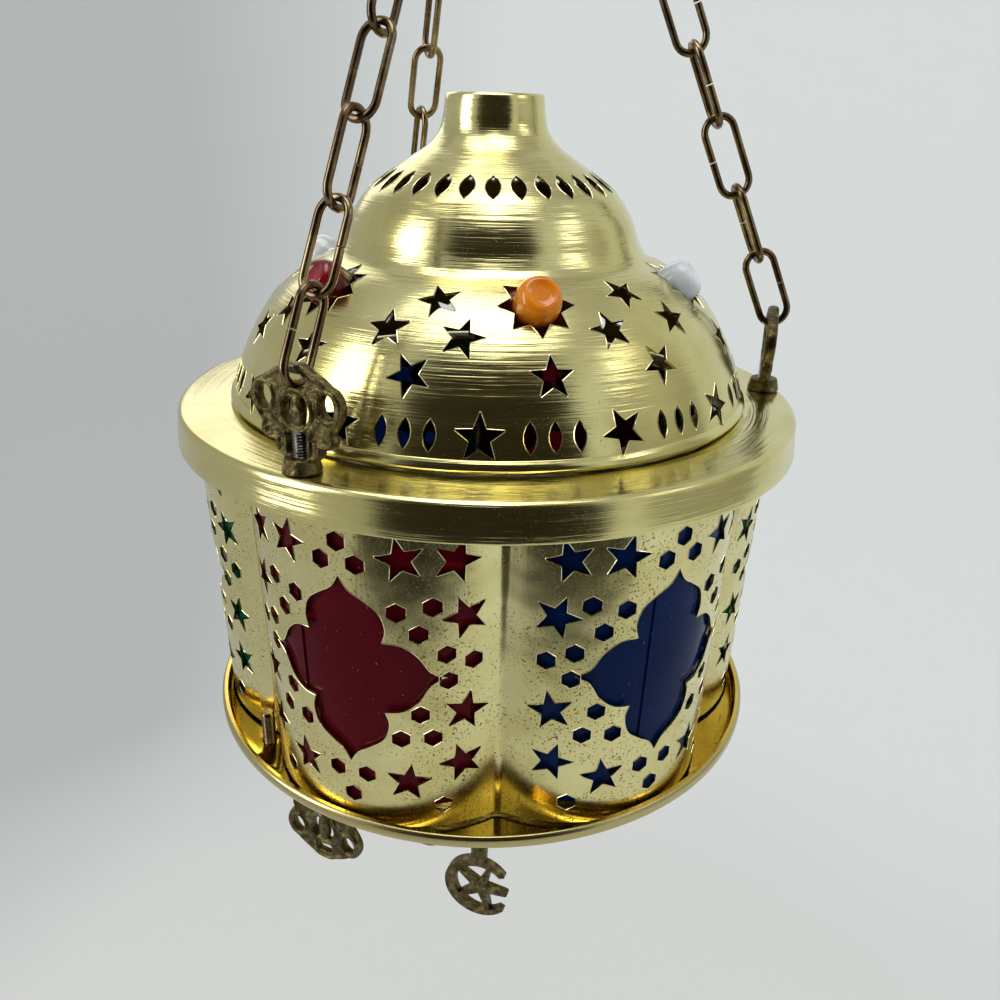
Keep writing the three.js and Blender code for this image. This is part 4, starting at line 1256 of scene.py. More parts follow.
@dataclass
class Castings:
    """The openwork castings: three lugs on the brim and three drops under the dish."""

    drop_turn: float = 7.0
    lug_turns: tuple[float, ...] = (0.0, -17.0, 0.0)
    stud: float = 2.0
    pitch: float = 0.7
    web: float = 2.0
    relief: float = 2.0
    rib: float = 0.78
    grain: float = 0.30
    # The height of the middle oval, and where the right eye is
    heart: float = 14.3
    eye: tuple[float, float] = (8.9, 16.4)
    knobs: tuple = (
        (5.7, 5.3, 1.4),
        (9.5, 8.3, 1.5),
        (10.4, 19.4, 1.1),
        (5.8, 22.3, 1.0),
        (5.6, 10.6, 1.0),
    )

    def rim(self) -> Outline:
        """Gives the right half of the scalloped rim, from the boss up to the crown.

        Returns:
            The rim's points.
        """
        scallops = (
            (2.4, 0.6), (3.2, 2.8), (5.6, 4.0), (6.4, 5.6), (5.9, 7.0), (8.2, 6.9), (10.1, 7.6),
            (10.4, 9.2), (9.9, 10.4), (11.4, 12.6), (12.7, 15.2), (12.7, 17.8), (11.3, 19.9),
            (9.5, 20.6), (7.6, 21.9), (4.8, 23.2), (2.4, 24.5), (0.0, 24.8),
        )
        return flowing(scallops, 0.8)

    def plate(self) -> bmesh.types.BMesh:
        """Gives the flat body of a casting with its openings, standing in the XZ plane.

        Returns:
            The body as a working mesh.
        """
        half = self.rim()
        slot = [(-2.5, 19.6), (2.5, 19.6), (3.0, 21.2), (2.0, 22.6), (-2.0, 22.6), (-3.0, 21.2)]
        stud_slot = [(-2.7, 3.4), (2.7, 3.4), (2.7, 8.4), (1.6, 9.8), (-1.6, 9.8), (-2.7, 8.4)]
        x, z = self.eye
        holes = [slot, stud_slot, self.oval(0, self.heart, 3.7, 4.0, 20)]
        holes += [self.oval(side * x, z, 1.9, 2.8, 14) for side in (1, -1)]
        work = bmesh.new()
        edges = []
        for loop in [half + mirrored(half), *holes]:
            corners = [work.verts.new((x, -self.web / 2, z)) for x, z in loop]
            edges += [work.edges.new(pair) for pair in zip(corners, corners[1:] + corners[:1])]
        made = bmesh.ops.triangle_fill(
            work, use_beauty=True, use_dissolve=False, edges=edges, normal=(0, 1, 0)
        )
        faces = [part for part in made["geom"] if isinstance(part, bmesh.types.BMFace)]
        raised = bmesh.ops.extrude_face_region(work, geom=faces)["geom"]
        moved = [part for part in raised if isinstance(part, bmesh.types.BMVert)]
        bmesh.ops.translate(work, vec=(0, self.web, 0), verts=moved)
        bmesh.ops.recalc_face_normals(work, faces=work.faces)
        return work

    @staticmethod
    def oval(x: float, z: float, across: float, up: float, sides: int) -> Outline:
        """Gives an oval outline."""
        return [(x + across * a, z + up * b) for a, b in ring_outline(1.0, sides)]

    def ribs(self) -> Mesh:
        """Gives the raised ribs: the rim, rings round the eyes, the oval and the legs.

        Returns:
            The ribs, still as deep as they are wide.
        """
        lines = [(self.oval(0, self.heart, 4.5, 4.8, 32), True)]
        for side in (1, -1):
            lines.append((self.oval(side * self.eye[0], self.eye[1], 2.7, 3.5, 28), True))
            lines.append(([(side * x * 0.955, z * 0.975 + 0.2) for x, z in self.rim()], False))
            leg = flowing([(3.3, 2.0), (3.4, 5.4), (3.5, 8.0), (4.4, 10.6), (6.4, 12.6)], 1.0)
            lines.append(([(side * x, z) for x, z in leg], False))
        wires = [([Vector((x, 0, z)) for x, z in line], closed) for line, closed in lines]
        return tubes(wires, self.rib, 3)

    def casting(self) -> Mesh:
        """Casts the plate, ribs, leaf, knobs and boss in one rough body.

        Returns:
            The casting, its foot at the origin.
        """
        work = self.plate()
        for x, z, radius in self.knobs:
            for side in (1, -1):
                place = Matrix.Translation((side * x, 0, z))
                bmesh.ops.create_uvsphere(
                    work, u_segments=12, v_segments=8, radius=radius, matrix=place
                )
        leaf = Matrix.Translation((0, 0, self.heart)) @ Matrix.Diagonal((0.5, 0.34, 1.12, 1.0))
        bmesh.ops.create_uvsphere(work, u_segments=20, v_segments=14, radius=4.3, matrix=leaf)
        boss = Matrix.Translation((0, 0, 1.7))
        bmesh.ops.create_cone(
            work, cap_ends=True, segments=28, radius1=4.7, radius2=3.9, depth=3.4, matrix=boss
        )
        ribs = self.ribs()
        for corner in ribs.vertices:
            corner.co.y *= self.relief
        work.from_mesh(ribs)
        bpy.data.meshes.remove(ribs)
        holder = bpy.data.objects.new("casting", mesh_of(work))
        fuse = holder.modifiers.new("fuse", "REMESH")
        fuse.mode = "VOXEL"
        fuse.voxel_size = self.grain
        soften = holder.modifiers.new("soften", "SMOOTH")
        soften.factor = 0.5
        soften.iterations = 2
        return finished(holder)

    def thread(self, low: float, high: float) -> Outline:
        """Gives the section of a threaded stud between two heights, from the axis and back.

        Args:
            low: The height of its lower end.
            high: The height of its upper end.

        Returns:
            Radius and height along the section.
        """
        teeth = int((high - low) / self.pitch)
        line = [(0.0, low), (self.stud - 0.45, low)]
        for i in range(teeth):
            foot = low + 0.15 + i * self.pitch
            line += [(self.stud - 0.42, foot), (self.stud, foot + self.pitch / 2)]
        return [*line, (self.stud - 0.5, high), (0.0, high)]

    def stud_mesh(self) -> Mesh:
        """Turns the stud that holds a casting, with its pan head under the sheet.

        Returns:
            The stud, in the casting's own place.
        """
        top = -(SHEET + 2 * GAP)
        pan = ((0.0, 2.8), (2.0, 2.7), (2.9, 2.1), (3.2, 1.2), (3.2, 0.0), (0.0, 0.0))
        head = [(radius, top - down) for radius, down in pan]
        return joined([spun(self.thread(top - 0.5, 9.6), 24), spun(head, 24)])

    def places(self) -> list[tuple[str, str, Matrix]]:
        """Gives each casting's own name, the solid that it stands for, and its place.

        Returns:
            A name, a solid and a place for each casting.
        """
        found = []
        for i, (azimuth, turn) in enumerate(zip(LUG_AZIMUTHS, self.lug_turns)):
            foot = at(azimuth, LUG_RADIUS, BRIM_TOP + GAP)
            place = foot @ Matrix.Rotation(math.radians(azimuth + turn), 4, "Z")
            found.append((f"cast_lug_{i + 1}", f"chain_lug_{i + 1}", place))
        for i, azimuth in enumerate(DROP_AZIMUTHS):
            under = at(azimuth, DROP_RADIUS, DISH_LEDGE - SHEET - GAP)
            turned = under @ Matrix.Rotation(math.radians(azimuth + self.drop_turn), 4, "Z")
            place = turned @ Matrix.Rotation(math.pi, 4, "X")
            found.append((f"cast_drop_{i + 1}", f"drop_casting_{i + 1}", place))
        return found

    def build(self) -> None:
        """Builds the six castings with their studs."""
        body = self.casting()
        stud = self.stud_mesh()
        for name, node, place in self.places():
            cast = body.copy()
            cast.transform(place)
            deliver(cast, Ticket(name, Slot.CASTING, CAST, (node,), crease=180.0))
            screw = stud.copy()
            screw.transform(place)
            deliver(screw, Ticket(name + "_stud", Slot.STEEL, STEEL))


# Crown


@dataclass
class Bead:
    """A pressed glass bead that stands out of a star."""

    radius: float = 5.8
    stand_out: float = 6.4
    sink: float = 5.0
    flange: float = 7.9

    def section(self) -> Outline:
        """Gives the bead's section: a shallow dimple, a round shoulder and a hidden flange.

        Returns:
            Radius and height along the section.
        """
        top = self.stand_out
        barrel = ((0.0, 0.55), (2.3, 0.42), (3.5, 0.0), (4.5, 0.6), (5.2, 1.9), (5.6, 3.6))
        line = [(radius, top - down) for radius, down in barrel]
        line += [(self.radius, 0.6), (self.radius, -2.6)]
        seat = [(self.flange - 0.5, -3.4), (self.flange, -3.9)]
        seat += [(self.flange - 0.4, -self.sink), (0.0, -self.sink)]
        return flowing(line, 0.5) + seat

    def deliver(self, place: Matrix, name: str, slot: Slot, nodes: tuple[str, ...] = ()) -> None:
        """Presses the bead, and keeps each point's height along it as its depth, which the glass uses for
        its painted shade.

        Args:
            place: Where it stands.
            name: The piece's name.
            slot: Its material slot.
            nodes: The solid that it stands for.
        """
        mesh = spun(self.section(), 40)
        depth = mesh.attributes.new("depth", "FLOAT", "POINT")
        for corner, value in zip(mesh.vertices, depth.data):
            value.value = corner.co.z
        mesh.transform(place)
        deliver(mesh, Ticket(name, slot, GLASSES[slot], nodes, crease=60.0))


@dataclass
class CrownDome:
    """The onion dome with its pierced stars, lenses and vents, and six beads."""

    steps: int = 252
    bead_height: float = 36.8
    bead_seat: float = 53.41
    bead_elevation: float = 37.0
    side_bead: float = 4.9
    outline: tuple = (
        (73.3, 2.3), (74.3, 2.6), (74.9, 3.6), (74.6, 4.8), (73.6, 5.6), (73.2, 7.4), (71.6, 12.0),
        (68.7, 18.8), (64.7, 25.8), (60.5, 31.0), (54.0, 36.5), (49.0, 39.5), (45.6, 40.9),
        (43.8, 41.9), (42.7, 43.5), (41.1, 46.2), (38.8, 52.0), (34.8, 57.8), (29.5, 62.0),
        (23.2, 66.3), (17.9, 69.8), (14.9, 73.5), (13.8, 77.6), (13.45, 80.6), (13.3, 82.0),
        (12.9, 82.6), (12.4, 82.8),
    )
    # For each star of a sector: degrees from its bead, height and turn
    front: tuple = ((1, 22.9, 0), (16.8, 31.5, 8), (27.2, 38, 20), (27, 23.6, 30), (37.8, 31.9, -14))
    back: tuple = ((0, 23.5, 0), (19, 31.5, 8), (26, 38, 20), (27, 23, 30), (38, 31.5, -14))
    far_left: tuple = ((0, 23.5, 0), (19, 31.5, 8), (30, 38, 20), (41.6, 24.6, 30), (51, 31, -14))
    left: tuple = (
        (6.5, 24.7, 5), (25.2, 31.4, 8), (35.5, 37.3, 20), (32.5, 22.5, 30), (42.5, 30.6, -14),
    )
    small_star: float = 5.4
    low_star: float = 5.8
    low_count: int = 13
    low_start: float = -1.5
    low_height: float = 10.5
    low_turn: float = 24.0
    lens: tuple = (7.8, 3.2)
    lens_spread: float = 4.7
    vent: tuple = (9.0, 4.2)
    vents: int = 30
    vent_height: float = 61.2
    reach: float = 4.0
    bead_reach: float = 12.0
    colours: tuple[Slot, ...] = (Slot.AMBER, Slot.MILKY, Slot.GREEN, Slot.BLUE, Slot.MILKY, Slot.RUBY)

    def line(self) -> Outline:
        """Gives the outer skin from the foot up to the neck."""
        return flowing(self.outline, TURNED_STEP)

    def place_at(self, azimuth: float, height: float) -> Matrix:
        """Gives the place on the sheet at an azimuth and a height, looking straight out of it.

        Args:
            azimuth: The azimuth in degrees.
            height: The height.

        Returns:
            The place.
        """
        radius, along = crossing(self.line(), height)
        elevation = math.degrees(math.atan2(-along.x, along.y))
        return facing(polar(azimuth, radius, height), slope(azimuth, elevation))

    def bead_place(self, index: int) -> Matrix:
        """Gives the place of one bead and of the star that holds it.

        Args:
            index: The bead's number, from 0.

        Returns:
            The place.
        """
        azimuth = BEAD_START + index * 360 / BEADS
        centre = polar(azimuth, self.bead_seat, self.bead_height)
        return facing(centre, slope(azimuth, self.bead_elevation))

    def pierce(self, press: Press) -> None:
        """Stamps all the openings.

        Args:
            press: The press that takes the punches.
        """
        sectors = (self.front, self.back, self.back, self.back, self.far_left, self.left)
        for i, sector in enumerate(sectors):
            press.stamp(bead_star(), self.bead_place(i), self.bead_reach)
            for offset, height, turn in sector:
                place = self.place_at(BEAD_START + i * 360 / BEADS + offset, height)
                press.stamp(small_star(self.small_star, turn), place, self.reach)
        for i in range(self.low_count):
            azimuth = self.low_start + 360 * i / self.low_count
            star = small_star(self.low_star, self.low_turn * i)
            press.stamp(star, self.place_at(azimuth, self.low_height), self.reach)
            for side in (-1, 0, 1):
                between = azimuth + 180 / self.low_count + side * self.lens_spread
                place = self.place_at(between, self.low_height)
                press.stamp(lens_outline(*self.lens), place, self.reach)
        for i in range(self.vents):
            place = self.place_at(360 * i / self.vents, self.vent_height)
            press.stamp(lens_outline(*self.vent), place, self.reach)

    def build(self) -> None:
        """Builds the dome, its burrs and its beads."""
        outer = self.line()
        press = Press(spun(outer + inside_of(outer, SHEET)[::-1], self.steps))
        self.pierce(press)
        deliver_sheet(press, Ticket("crown_dome", Slot.BRASS, SPUN, ("dome",)), "crown_burrs")
        for i, slot in enumerate(self.colours):
            bead = Bead(stand_out=self.side_bead) if slot is Slot.MILKY else Bead()
            bead.deliver(self.bead_place(i), f"crown_bead_{i + 1}", slot, (f"dome_bead_{i + 1}",))


@dataclass
class Brim:
    """The flat brim with its rounded corner and slightly flared skirt."""

    hole: float = 62.0
    corner: float = 1.8
    skirt: float = 7.6
    flare: float = 0.62
    steps: int = 240

    def section(self) -> Outline:
        """Gives the outer skin from the middle hole out and down the skirt.

        Returns:
            Radius and height along the skin.
        """
        plate = ((self.hole, 0.0), (70.0, 0.0), (78.0, 0.05), (84.0, -0.03))
        flat = [(radius, BRIM_TOP + rise) for radius, rise in plate]
        inset, low = BRIM_RADIUS - self.flare - self.corner, BRIM_TOP - self.corner
        corner = [(inset + y, low + x) for x, y in arc(self.corner, 0, math.pi / 2, 8)]
        drop = ((0.50, -2.0), (0.24, -4.5), (0.0, 0.6 - self.skirt), (0.12, -self.skirt))
        return flowing(flat, 4.0) + corner + [(BRIM_RADIUS - back, z) for back, z in drop]

    def build(self) -> None:
        """Builds the brim with the bores of its studs and rods."""
        outer = self.section()
        blank = spun(outer + inside_of(outer, -SHEET)[::-1], self.steps)
        spots = [(azimuth, LUG_RADIUS) for azimuth in LUG_AZIMUTHS]
        spots += [(azimuth, ROD_RADIUS) for azimuth in ROD_AZIMUTHS]
        brim = bored(blank, spots, BRIM_TOP)
        deliver(brim, Ticket("turned_brim", Slot.BRASS, SPUN, ("brim",)))


# Body


@dataclass
class Lobes:
    """The six lobed plan of the wall: arcs joined by a round valley at each joint."""

    radius: float = WALL_RADIUS
    joint: float = 75.6
    fillet: float = 3.0

    def __post_init__(self) -> None:
        """Works out the lobes' circle from its reach and the valleys."""
        self.away = self.joint + self.fillet
        turn = math.cos(math.pi / LOBES)
        top = self.away**2 + self.radius**2 - 2 * self.away * self.radius * turn - self.fillet**2
        self.arc = top / (2 * (self.fillet + self.radius - self.away * turn))
        self.centre = self.radius - self.arc
        side, fore = self.away * math.sin(math.pi / LOBES), self.away * turn
        self.span = math.degrees(math.atan2(side, fore - self.centre))

    def azimuth(self, lobe: int) -> float:
        """Gives the azimuth of a lobe's middle."""
        return JOINT_AZIMUTH + (lobe + 0.5) * 360 / LOBES

    def on_lobe(self, lobe: int, angle: float, inside: float = 0.0) -> Vector:
        """Gives a point of a lobe, at an angle about its own centre."""
        azimuth = self.azimuth(lobe)
        return polar(azimuth, self.centre, 0) + polar(azimuth + angle, self.arc - inside, 0)

    def lean(self, seen: float) -> float:
        """Gives the angle about a lobe's centre of what is seen from the axis at an angle."""
        return seen + math.degrees(math.asin(self.centre * math.sin(math.radians(seen)) / self.arc))

    def arc_points(
        self, lobe: int, start: float, end: float, steps: int, inside: float = 0.0
    ) -> list[Vector]:
        """Gives points along part of a lobe.

        Args:
            lobe: The lobe's number, from 0.
            start: The angle about its centre at which the part starts, in degrees.
            end: The angle at which it ends.
            steps: The number of steps.
            inside: How far the points lie inside the wall's outer skin.

        Returns:
            The points.
        """
        turns = [start + (end - start) * i / steps for i in range(steps + 1)]
        return [self.on_lobe(lobe, turn, inside) for turn in turns]

    def valley(self, lobe: int, steps: int, inside: float = 0.0) -> list[Vector]:
        """Gives the points of the round valley after a lobe, without its ends.

        Args:
            lobe: The lobe's number, from 0.
            steps: The number of steps.
            inside: How far the points lie inside the wall's outer skin.

        Returns:
            The valley's points.
        """
        azimuth = JOINT_AZIMUTH + (lobe + 1) * 360 / LOBES
        middle = polar(azimuth, self.away, 0)
        ends = [polar(azimuth + side * 180 / LOBES, self.centre, 0) - middle for side in (-1, 1)]
        turns = [math.atan2(end.y, end.x) for end in ends]
        sweep = (turns[1] - turns[0] + math.pi) % (2 * math.pi) - math.pi
        bend = arc(self.fillet + inside, turns[0], turns[0] + sweep, steps)
        return [middle + Vector((x, y, 0)) for x, y in bend[1:-1]]

    def plan(self, inside: float = 0.0) -> list[Vector]:
        """Gives the whole closed plan.

        Args:
            inside: How far the plan lies inside the wall's outer skin.

        Returns:
            The plan's points.
        """
        points = []
        for lobe in range(LOBES):
            points += self.arc_points(lobe, -self.span, self.span, 30, inside)
            points += self.valley(lobe, 6, inside)
        return points


def raised_skin(plan: Sequence[Vector], closed: bool, low: float, high: float, rows: int) -> Mesh:
    """Raises a plan into an upright skin that follows the wall's taper.

    Args:
        plan: The plan's points at the brim's level.
        closed: Whether the plan runs all round.
        low: The height of the skin's foot.
        high: The height of its top.
        rows: The number of rows.

    Returns:
        The skin, its normals outwards.
    """
    work = bmesh.new()
    scale = taper(low)
    corners = [work.verts.new((p.x * scale, p.y * scale, low)) for p in plan]
    pairs = list(zip(corners, corners[1:]))
    if closed:
        pairs.append((corners[-1], corners[0]))
    edges = [work.edges.new(pair) for pair in pairs]
    for row in range(rows):
        here = low + (high - low) * row / rows
        there = low + (high - low) * (row + 1) / rows
        grown = taper(there) / taper(here)
        made = bmesh.ops.extrude_edge_only(work, edges=edges)["geom"]
        edges = [part for part in made if isinstance(part, bmesh.types.BMEdge)]
        verts = [part for part in made if isinstance(part, bmesh.types.BMVert)]
        lift = Matrix.Translation((0, 0, there - here)) @ Matrix.Diagonal((grown, grown, 1, 1))
        bmesh.ops.transform(work, matrix=lift, verts=verts)
    work.normal_update()
    face = next(iter(work.faces))
    if face.normal.xy.dot(face.calc_center_median().xy) < 0:
        bmesh.ops.reverse_faces(work, faces=work.faces)
    return mesh_of(work)


@dataclass
class LobedWall:
    """The pierced wall with its windows, the films behind them and the tie rods."""

    lobes: Lobes
    shifts: tuple[float, ...] = (-0.5, 0, 0, 0, 0, 3)
    window_height: float = -48.8
    tall: float = 27.4
    wide: float = 23.6
    notch: tuple[float, float] = (9.8, 10.2)
    # Degrees from the lobe's middle, height and turn of each star on one side
    stars: tuple = (
        (10.1, -15.9, 12),
        (18.9, -16.6, -18),
        (20.4, -32, 20),
        (20.5, -59.5, -12),
        (19.9, -75.6, 16),
        (10.4, -80.8, -8),
    )
    hexes: tuple = (
        (0, -12.6), (3, -18), (9.2, -30), (15, -28.5), (12.7, -36), (17.2, -42), (21.8, -44.6),
        (17.5, -49.7), (12.7, -59.5), (9.3, -67), (14.8, -66.8), (2.9, -79.5), (0, -87), (16.5, -89),
    )
    star: float = 5.9
    hex_radius: float = 2.75
    reach: float = 3.0
    window_inset: float = 7.0
    window_reach: float = 14.0
    rows: int = 26
    lap: float = 8.0
    lap_out: float = 0.85
    film: float = 0.25
    film_reach: float = 1.2
    film_apart: float = 0.5
    film_ends: tuple[float, float] = (-90.0, -6.0)
    nut_radius: float = 4.04
    nut_height: float = 3.2
    film_colours: tuple[Slot, ...] = (Slot.FILM_BLUE, Slot.FILM_GREEN, Slot.FILM_RED) * 2
    # Where each second film starts, and the side to which it runs
    overlaps: tuple = ((-8.0, 1), (0.0, 1), (5.0, -1), (0.0, 1), (-6.0, -1), (-13.0, -1))

    def window(self) -> Outline:
        """Gives the four leaved window with pointed tips.

        Returns:
            The window's outline, upright.
        """
        across, up = self.notch
        leaf = (
            (self.wide, 0),
            (self.wide - 3.2, 1.9),
            (self.wide - 5.9, up - 3.6),
            (self.wide - 9.6, up - 0.5),
            (across, up),
        )
        tip = (
            (across, up),
            (across + 0.9, up + 3.6),
            (across - 0.5, up + 8.4),
            (across - 4.4, self.tall - 5.6),
            (across - 7.6, self.tall - 3.5),
            (0, self.tall),
        )
        quarter = flowing(leaf, 1.2) + flowing(tip, 1.2)[1:]
        half = quarter + mirrored(quarter)
        return half + [(x, -y) for x, y in reversed(half[1:-1])]

    def on_wall(self, lobe: int, seen: float, height: float) -> Matrix:
        """Gives the place on a lobe seen from the axis at an angle from its middle.

        Args:
            lobe: The lobe's number, from 0.
            seen: The angle from its middle, in degrees.
            height: The height.

        Returns:
            The place, looking straight out of the lobe.
        """
        lean, reach = 0.0, self.lobes.radius
        if abs(seen) > 1e-6:
            lean = self.lobes.lean(seen)
            reach = self.lobes.arc * math.sin(math.radians(lean)) / math.sin(math.radians(seen))
        azimuth = self.lobes.azimuth(lobe)
        centre = polar(azimuth + seen, reach * taper(height), height)
        return facing(centre, polar(azimuth + lean, 1, 0))

    def pierce(self, press: Press) -> None:
        """Stamps windows, stars and hexagons.

        Args:
            press: The press that takes the punches.
        """
        hexagon = ring_outline(self.hex_radius, 6, 30)
        for lobe, shift in enumerate(self.shifts):
            middle = self.lobes.azimuth(lobe) + shift
            centre = polar(middle, self.lobes.radius - self.window_inset, self.window_height)
            press.stamp(self.window(), facing(centre, polar(middle, 1, 0)), self.window_reach)
            for side in (-1, 1):
                for offset, height, turn in self.stars:
                    place = self.on_wall(lobe, side * offset + shift, height)
                    press.stamp(small_star(self.star, side * turn), place, self.reach)
            for offset, height in self.hexes:
                for side in (-1, 1) if offset else (1,):
                    place = self.on_wall(lobe, side * offset + shift, height)
                    press.stamp(hexagon, place, self.reach)

    def wall(self) -> None:
        """Builds the wall and its burrs."""
        skin = raised_skin(self.lobes.plan(), True, WALL_BOTTOM, WALL_TOP, self.rows)
        press = Press(thickened(skin, SHEET))
        self.pierce(press)
        ticket = Ticket("pierced_wall", Slot.BRASS, SHEETING, ("wall",))
        deliver_sheet(press, ticket, "wall_burrs", 0.11)

    def seam(self) -> None:
        """Builds the lap where the wall's strip closes on itself, beside a valley."""
        span = self.lobes.span
        lap = self.lobes.arc_points(4, span - self.lap, span, 10, -self.lap_out)
        lap += self.lobes.valley(4, 6, -self.lap_out)[:3]
        skin = raised_skin(lap, False, WALL_BOTTOM + 0.2, WALL_TOP - 0.1, self.rows)
        deliver(thickened(skin, SHEET - 0.1), Ticket("wall_seam", Slot.BRASS, SHEETING))

    def films(self, lobe: int) -> None:
        """Builds the two overlapping films behind a lobe's openings.

        Args:
            lobe: The lobe's number, from 0.
        """
        reach = self.lobes.span - self.film_reach
        inside = SHEET + GAP
        slot = self.film_colours[lobe]
        edge, way = self.overlaps[lobe]
        spans = ((-reach, reach, inside + self.film_apart), (edge, way * reach, inside))
        for layer, (start, end, depth) in enumerate(spans):
            plan = self.lobes.arc_points(lobe, min(start, end), max(start, end), 24, depth)
            mesh = thickened(raised_skin(plan, False, *self.film_ends, 10), self.film)
            name = f"window_film_{lobe + 1}" + ("" if layer == 0 else "_overlap")
            nodes = (f"film_{lobe + 1}",) if layer == 0 else ()
            deliver(mesh, Ticket(name, slot, FILMS[slot], nodes))

    def rods(self) -> None:
        """Builds the threaded tie rods and their nuts."""
        top, foot = BRIM_TOP + GAP, DISH_LEDGE - SHEET - GAP - self.nut_height
        nut = ring_outline(self.nut_radius, 6)
        shank = Castings().thread(foot - 1, top + 4.2)
        for i, azimuth in enumerate(ROD_AZIMUTHS):
            work = bmesh.new()
            for low in (top, foot):
                add_prism(work, nut, Matrix.Identity(4), low, low + self.nut_height)
            bmesh.ops.recalc_face_normals(work, faces=work.faces)
            ends = [(edge, *edge.verts) for edge in work.edges]
            corners = [edge for edge, a, b in ends if abs(a.co.z - b.co.z) > 1]
            bmesh.ops.bevel(
                work,
                geom=corners,
                offset=0.35,
                segments=2,
                profile=0.5,
                affect="EDGES",
                material=-1,
            )
            mesh = joined([spun(shank, 20), mesh_of(work)])
            mesh.transform(at(azimuth, ROD_RADIUS, 0))
            ticket = Ticket(f"threaded_rod_{i + 1}", Slot.STEEL, STEEL, (f"tie_rod_{i + 1}",))
            deliver(mesh, ticket)

    def build(self) -> None:
        """Builds the wall, its seam, the films and the rods."""
        self.wall()
        self.seam()
        for lobe in range(LOBES):
            self.films(lobe)
        self.rods()


@dataclass
class Dish:
    """The polished dish under the wall, with its upstanding rim."""

    rim_width: float = 2.2
    rim_height: float = 3.7
    ledge_radius: float = 63.2
    floor_radius: float = 61.8
    screw_radius: float = 76.4
    screw_azimuths: tuple[float, ...] = (ROD_AZIMUTHS[0], ROD_AZIMUTHS[0] + 180)
    screw_top: float = -87.0
    steps: int = 240

    def section(self) -> Outline:
        """Gives the section from the floor's middle, over the rim and back underneath.

        Returns:
            Radius and height along the section.
        """
        inner = DISH_RADIUS - self.rim_width
        low = DISH_TOP - self.rim_height
        under = DISH_LEDGE - SHEET
        upper = (
            (self.floor_radius, DISH_FLOOR),
            (self.floor_radius + 0.8, DISH_FLOOR + 0.9),
            (self.ledge_radius, DISH_LEDGE),
        )
        hollow = (
            (inner - 3.2, DISH_LEDGE),
            (inner - 1.2, DISH_LEDGE + 0.5),
            (inner, low + 1.0),
            (inner, DISH_TOP - 0.7),
            (inner + 0.5, DISH_TOP),
            (inner + 1.3, DISH_TOP),
        )
        outer = (
            (DISH_RADIUS - 0.6, DISH_TOP),
            (DISH_RADIUS, DISH_TOP - 0.7),
            (DISH_RADIUS, low + 0.8),
            (DISH_RADIUS - 0.7, low),
            (inner - 1.6, under),
        )
        rim = flowing(upper, 0.7) + flowing(hollow, 0.6) + flowing(outer, 0.6)
        back = [(self.ledge_radius + 0.6, under), (self.floor_radius + 0.6, DISH_FLOOR - SHEET)]
        return [(0.0, DISH_FLOOR), (30.0, DISH_FLOOR), *rim, *back, (0.0, DISH_FLOOR - SHEET)]

    def build(self) -> None:
        """Builds the dish with the bores of its drops, rods and screws."""
        blank = spun(self.section(), self.steps)
        spots = [(azimuth, DROP_RADIUS) for azimuth in DROP_AZIMUTHS]
        spots += [(azimuth, ROD_RADIUS) for azimuth in ROD_AZIMUTHS]
        spots += [(azimuth, self.screw_radius) for azimuth in self.screw_azimuths]
        dish = bored(blank, spots, DISH_LEDGE)
        deliver(dish, Ticket("polished_dish", Slot.GOLD, GOLD, ("dish",)))
        self.screws()

    def screws(self) -> None:
        """Builds the two short screws that stand up through the ledge beside the wall."""
        under = DISH_LEDGE - SHEET - GAP
        head = [(0.0, under - 2.2), (2.4, under - 2.0), (3.3, under - 1.2), (3.3, under), (0.0, under)]
        thread = Castings().thread(under - 0.5, self.screw_top)
        for i, azimuth in enumerate(self.screw_azimuths):
            mesh = joined([spun(head, 24), spun(thread, 20)])
            mesh.transform(at(azimuth, self.screw_radius, 0))
            deliver(mesh, Ticket(f"ledge_screw_{i + 1}", Slot.STEEL, WIRE))


